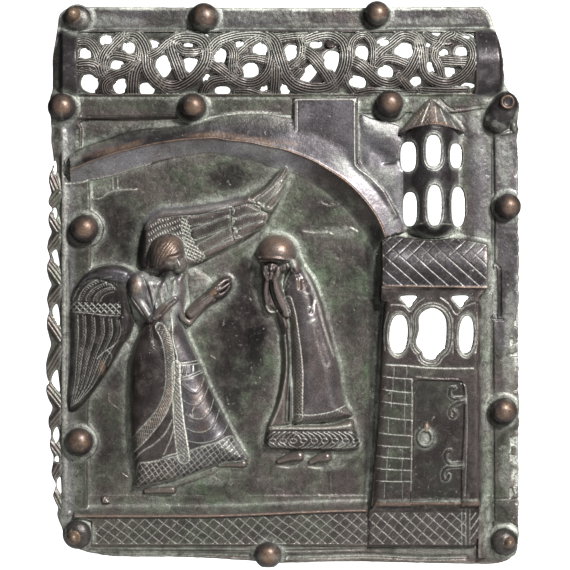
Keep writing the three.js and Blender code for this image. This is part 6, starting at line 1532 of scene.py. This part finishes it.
def bronze(name, plain=False):
    mat = bpy.data.materials.new(name)
    mat.use_nodes = True
    nt = mat.node_tree
    nt.nodes.clear()
    out = nt.nodes.new("ShaderNodeOutputMaterial")
    bsdf = nt.nodes.new("ShaderNodeBsdfPrincipled")
    nt.links.new(bsdf.outputs[0], out.inputs[0])
    geo = nt.nodes.new("ShaderNodeTexCoord")

    def tex(scale, detail=4.0, rough=0.6, dist=0.0):
        n = nt.nodes.new("ShaderNodeTexNoise")
        n.inputs["Scale"].default_value = scale
        n.inputs["Detail"].default_value = detail
        n.inputs["Roughness"].default_value = rough
        n.inputs["Distortion"].default_value = dist
        nt.links.new(geo.outputs["Object"], n.inputs["Vector"])
        return n.outputs["Fac"]

    def math_(op, a, b=None, clamp=False):
        n = nt.nodes.new("ShaderNodeMath")
        n.operation = op
        n.use_clamp = clamp
        for i_, x_ in enumerate([a] + ([b] if b is not None else [])):
            if isinstance(x_, (int, float)):
                n.inputs[i_].default_value = x_
            else:
                nt.links.new(x_, n.inputs[i_])
        return n.outputs[0]

    def ramp(x_, a, b):
        n = nt.nodes.new("ShaderNodeMapRange")
        n.inputs["From Min"].default_value = a
        n.inputs["From Max"].default_value = b
        nt.links.new(x_, n.inputs["Value"])
        return n.outputs["Result"]

    def mix(f, a, b):
        n = nt.nodes.new("ShaderNodeMix")
        n.data_type = "RGBA"
        for key_, x_ in ((0, f), (6, a), (7, b)):
            if isinstance(x_, (int, float)):
                n.inputs[key_].default_value = x_
            elif isinstance(x_, tuple):
                n.inputs[key_].default_value = (*x_, 1)
            else:
                nt.links.new(x_, n.inputs[key_])
        return n.outputs[2]

    def attr(key):
        if plain:
            n = nt.nodes.new("ShaderNodeValue")
            n.outputs[0].default_value = PLAIN_COAT.get(key, 0.0)
            return n.outputs[0]
        n = nt.nodes.new("ShaderNodeAttribute")
        n.attribute_name = key
        return n.outputs["Fac"]

    big, mid_, grain, fleck = tex(16, 4), tex(85, 6, 0.7, 0.5), tex(480, 3, 0.7), tex(900, 2, 0.6)
    col = mix(ramp(big, 0.35, 0.65), BRONZE_A, BRONZE_B)
    col = mix(math_("MULTIPLY", ramp(mid_, 0.42, 0.70), 0.6), col, BRONZE_C)
    green_ = math_("MULTIPLY", attr("green"), ramp(tex(40, 6, 0.72, 0.8), 0.34, 0.60), True)
    col = mix(math_("MULTIPLY", green_, 0.85), col, mix(ramp(mid_, 0.36, 0.66), VERDIGRIS, VERDIGRIS_PALE))
    col = mix(math_("MULTIPLY", attr("plain"), 0.9), col, mix(ramp(tex(30, 5, 0.65, 0.6), 0.36, 0.64), SMOOTH_A, SMOOTH_B))
    w = math_("ADD", math_("MULTIPLY", attr("ridge"), 0.50), math_("MULTIPLY", attr("wear_and_highlight"), 0.80), True)
    w = math_("MULTIPLY", w, ramp(mid_, 0.25, 0.60), True)
    worn = math_("MULTIPLY", attr("ridge"), math_("SUBTRACT", 1.0, math_("MULTIPLY", attr("dark_and_shade"), 0.6)))
    col = mix(math_("MULTIPLY", worn, 0.50, True), col, RUBBED)
    dk = math_("MULTIPLY", attr("dark_and_shade"), ramp(tex(60, 5, 0.7, 0.6), 0.25, 0.50), True)
    col = mix(math_("MULTIPLY", dk, 0.88), col, SKIN_AND_SHADE)
    col = mix(math_("MULTIPLY", attr("wear_and_highlight"), ramp(mid_, 0.30, 0.58), True), col, COPPER)
    col = mix(attr("groove_and_shade"), col, CREVICE_AND_SHADE)
    d = attr("dust_and_highlight")
    d = math_("MULTIPLY", d, ramp(tex(190, 5, 0.75, 0.6), 0.30, 0.60), True)
    col = mix(math_("MULTIPLY", d, 0.80), col, DUSTY_AND_HIGHLIGHT)
    c = attr("chalk_and_highlight")
    spots = math_("MULTIPLY", ramp(tex(230, 5, 0.78, 0.6), 0.615, 0.70), ramp(big, 0.40, 0.60), True)
    c = math_("ADD", math_("MULTIPLY", c, ramp(grain, 0.25, 0.58)), math_("MULTIPLY", spots, 0.40), True)
    col = mix(c, col, DEPOSIT_AND_HIGHLIGHT)
    col = mix(math_("MULTIPLY", ramp(fleck, 0.58, 0.40), 0.45), col, CREVICE_AND_SHADE)
    g = math_("MAXIMUM", math_("MULTIPLY", green_, 0.6), math_("MULTIPLY", d, 0.7))
    nt.links.new(col, bsdf.inputs["Base Color"])
    nt.links.new(math_("MULTIPLY", math_("SUBTRACT", 1.0, math_("MAXIMUM", c, g)), METAL), bsdf.inputs["Metallic"])
    r = math_("ADD", math_("MULTIPLY", grain, 0.22), ROUGH - 0.11)
    r = math_("ADD", r, math_("MULTIPLY", math_("MAXIMUM", c, math_("MULTIPLY", d, 0.7)), 0.35))
    r = math_("ADD", r, math_("MULTIPLY", attr("wear_and_highlight"), 0.11), True)
    nt.links.new(r, bsdf.inputs["Roughness"])
    bsdf.inputs["Specular IOR Level"].default_value = SHEEN_LEVEL
    bump = nt.nodes.new("ShaderNodeBump")
    bump.inputs["Strength"].default_value = 0.55
    bump.inputs["Distance"].default_value = 0.0006
    tooth = math_("ADD", math_("MULTIPLY", mid_, 1.3), math_("MULTIPLY", grain, 0.7))
    nt.links.new(math_("MULTIPLY", tooth, math_("SUBTRACT", 1.0, math_("MULTIPLY", attr("plain"), 0.55))), bump.inputs["Height"])
    nt.links.new(bump.outputs[0], bsdf.inputs["Normal"])
    return mat


BRONZE_A, BRONZE_B, BRONZE_C = (0.070, 0.057, 0.053), (0.032, 0.026, 0.025), (0.140, 0.121, 0.113)
SKIN_AND_SHADE, CREVICE_AND_SHADE, COPPER, RUBBED = (0.0105, 0.0080, 0.0080), (0.0035, 0.0030, 0.0028), (0.176, 0.111, 0.074), (0.180, 0.142, 0.128)
VERDIGRIS, VERDIGRIS_PALE = (0.010, 0.020, 0.008), (0.074, 0.103, 0.061)
SMOOTH_A, SMOOTH_B = (0.062, 0.055, 0.059), (0.125, 0.119, 0.131)
DUSTY_AND_HIGHLIGHT, DEPOSIT_AND_HIGHLIGHT = (0.270, 0.285, 0.245), (0.620, 0.640, 0.560)
METAL, ROUGH, SHEEN_LEVEL = 0.60, 0.37, 0.25
front_mat = bronze("patinated bronze")
back_mat = bronze("bronze back", plain=True)
for p in pieces:
    p.data.materials.append(back_mat if p is back else front_mat)
    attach(p, "root")
    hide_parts("plaque")

# ------------------------------------------------------------------ stage, light, camera
centre = (lo0 + hi0) / 2


def plane(name, size, deep, loc, rot, colour, glow=0.0):
    h, k = size / 2, deep / 2
    m = bpy.data.meshes.new(name)
    m.from_pydata([(-h, -k, 0), (h, -k, 0), (h, k, 0), (-h, k, 0)], [], [(0, 1, 2, 3)])
    o = bpy.data.objects.new(name, m)
    o.location, o.rotation_euler = loc, rot
    bpy.context.scene.collection.objects.link(o)
    mt = bpy.data.materials.new(name)
    mt.use_nodes = True
    b = mt.node_tree.nodes["Principled BSDF"]
    b.inputs["Base Color"].default_value = (*colour, 1)
    b.inputs["Roughness"].default_value = 0.9
    b.inputs["Emission Color"].default_value = (1, 1, 1, 1)
    b.inputs["Emission Strength"].default_value = glow
    m.materials.append(mt)
    return o


plane("floor", 7.0, 6.4, (0, -2.0, lo0.z - 0.16), (0, 0, 0), (0.62, 0.61, 0.60))
plane("backdrop", 2.6, 2.6, (0, 6.0, 0.0), (math.radians(90), 0, 0), (0.9, 0.9, 0.9), 1.2)


def lamp(name, kind, direction, dist, size, power, colour=(1, 1, 1)):
    d = bpy.data.lights.new(name, "AREA")
    d.shape = kind
    d.size = size
    d.energy = power
    d.color = colour
    o = bpy.data.objects.new(name, d)
    v_ = Vector(direction).normalized()
    o.location = centre + v_ * dist
    o.rotation_euler = (-v_).to_track_quat("-Z", "Y").to_euler()
    bpy.context.scene.collection.objects.link(o)
    return o


lamp("key", "DISK", (0.42, -0.74, 0.52), 2.2, 0.34, 158)
lamp("fill low", "DISK", (-0.20, -0.80, -0.60), 2.4, 1.0, 2.2, (1.0, 0.93, 0.90))
lamp("fill left", "DISK", (-0.8, -0.75, 0.25), 2.4, 0.9, 1.5, (0.93, 0.96, 1.0))
lamp("behind", "DISK", (-0.05, 1.0, 0.08), 2.4, 0.4, 16)

world = bpy.data.worlds.new("room")
world.use_nodes = True
world.node_tree.nodes["Background"].inputs[0].default_value = (0.80, 0.82, 0.85, 1)
world.node_tree.nodes["Background"].inputs[1].default_value = 0.04
bpy.context.scene.world = world

cam = bpy.data.cameras.new("camera")
eye = bpy.data.objects.new("camera", cam)
bpy.context.scene.collection.objects.link(eye)
bpy.context.scene.camera = eye
DIST = 3.0
cam.sensor_width = 36.0
cam.lens = 36.0 * (DIST - 0.009) / (570.0 * SX)
eye.location = (lo0.x + (285.0 - 46.382) * SX, hi0.y - DIST, hi0.z - (285.0 - 2.5) * SZ)
eye.rotation_euler = (math.radians(90), 0, 0)
cam.clip_start, cam.clip_end = 0.1, 40
bpy.context.scene.view_settings.view_transform = "Standard"
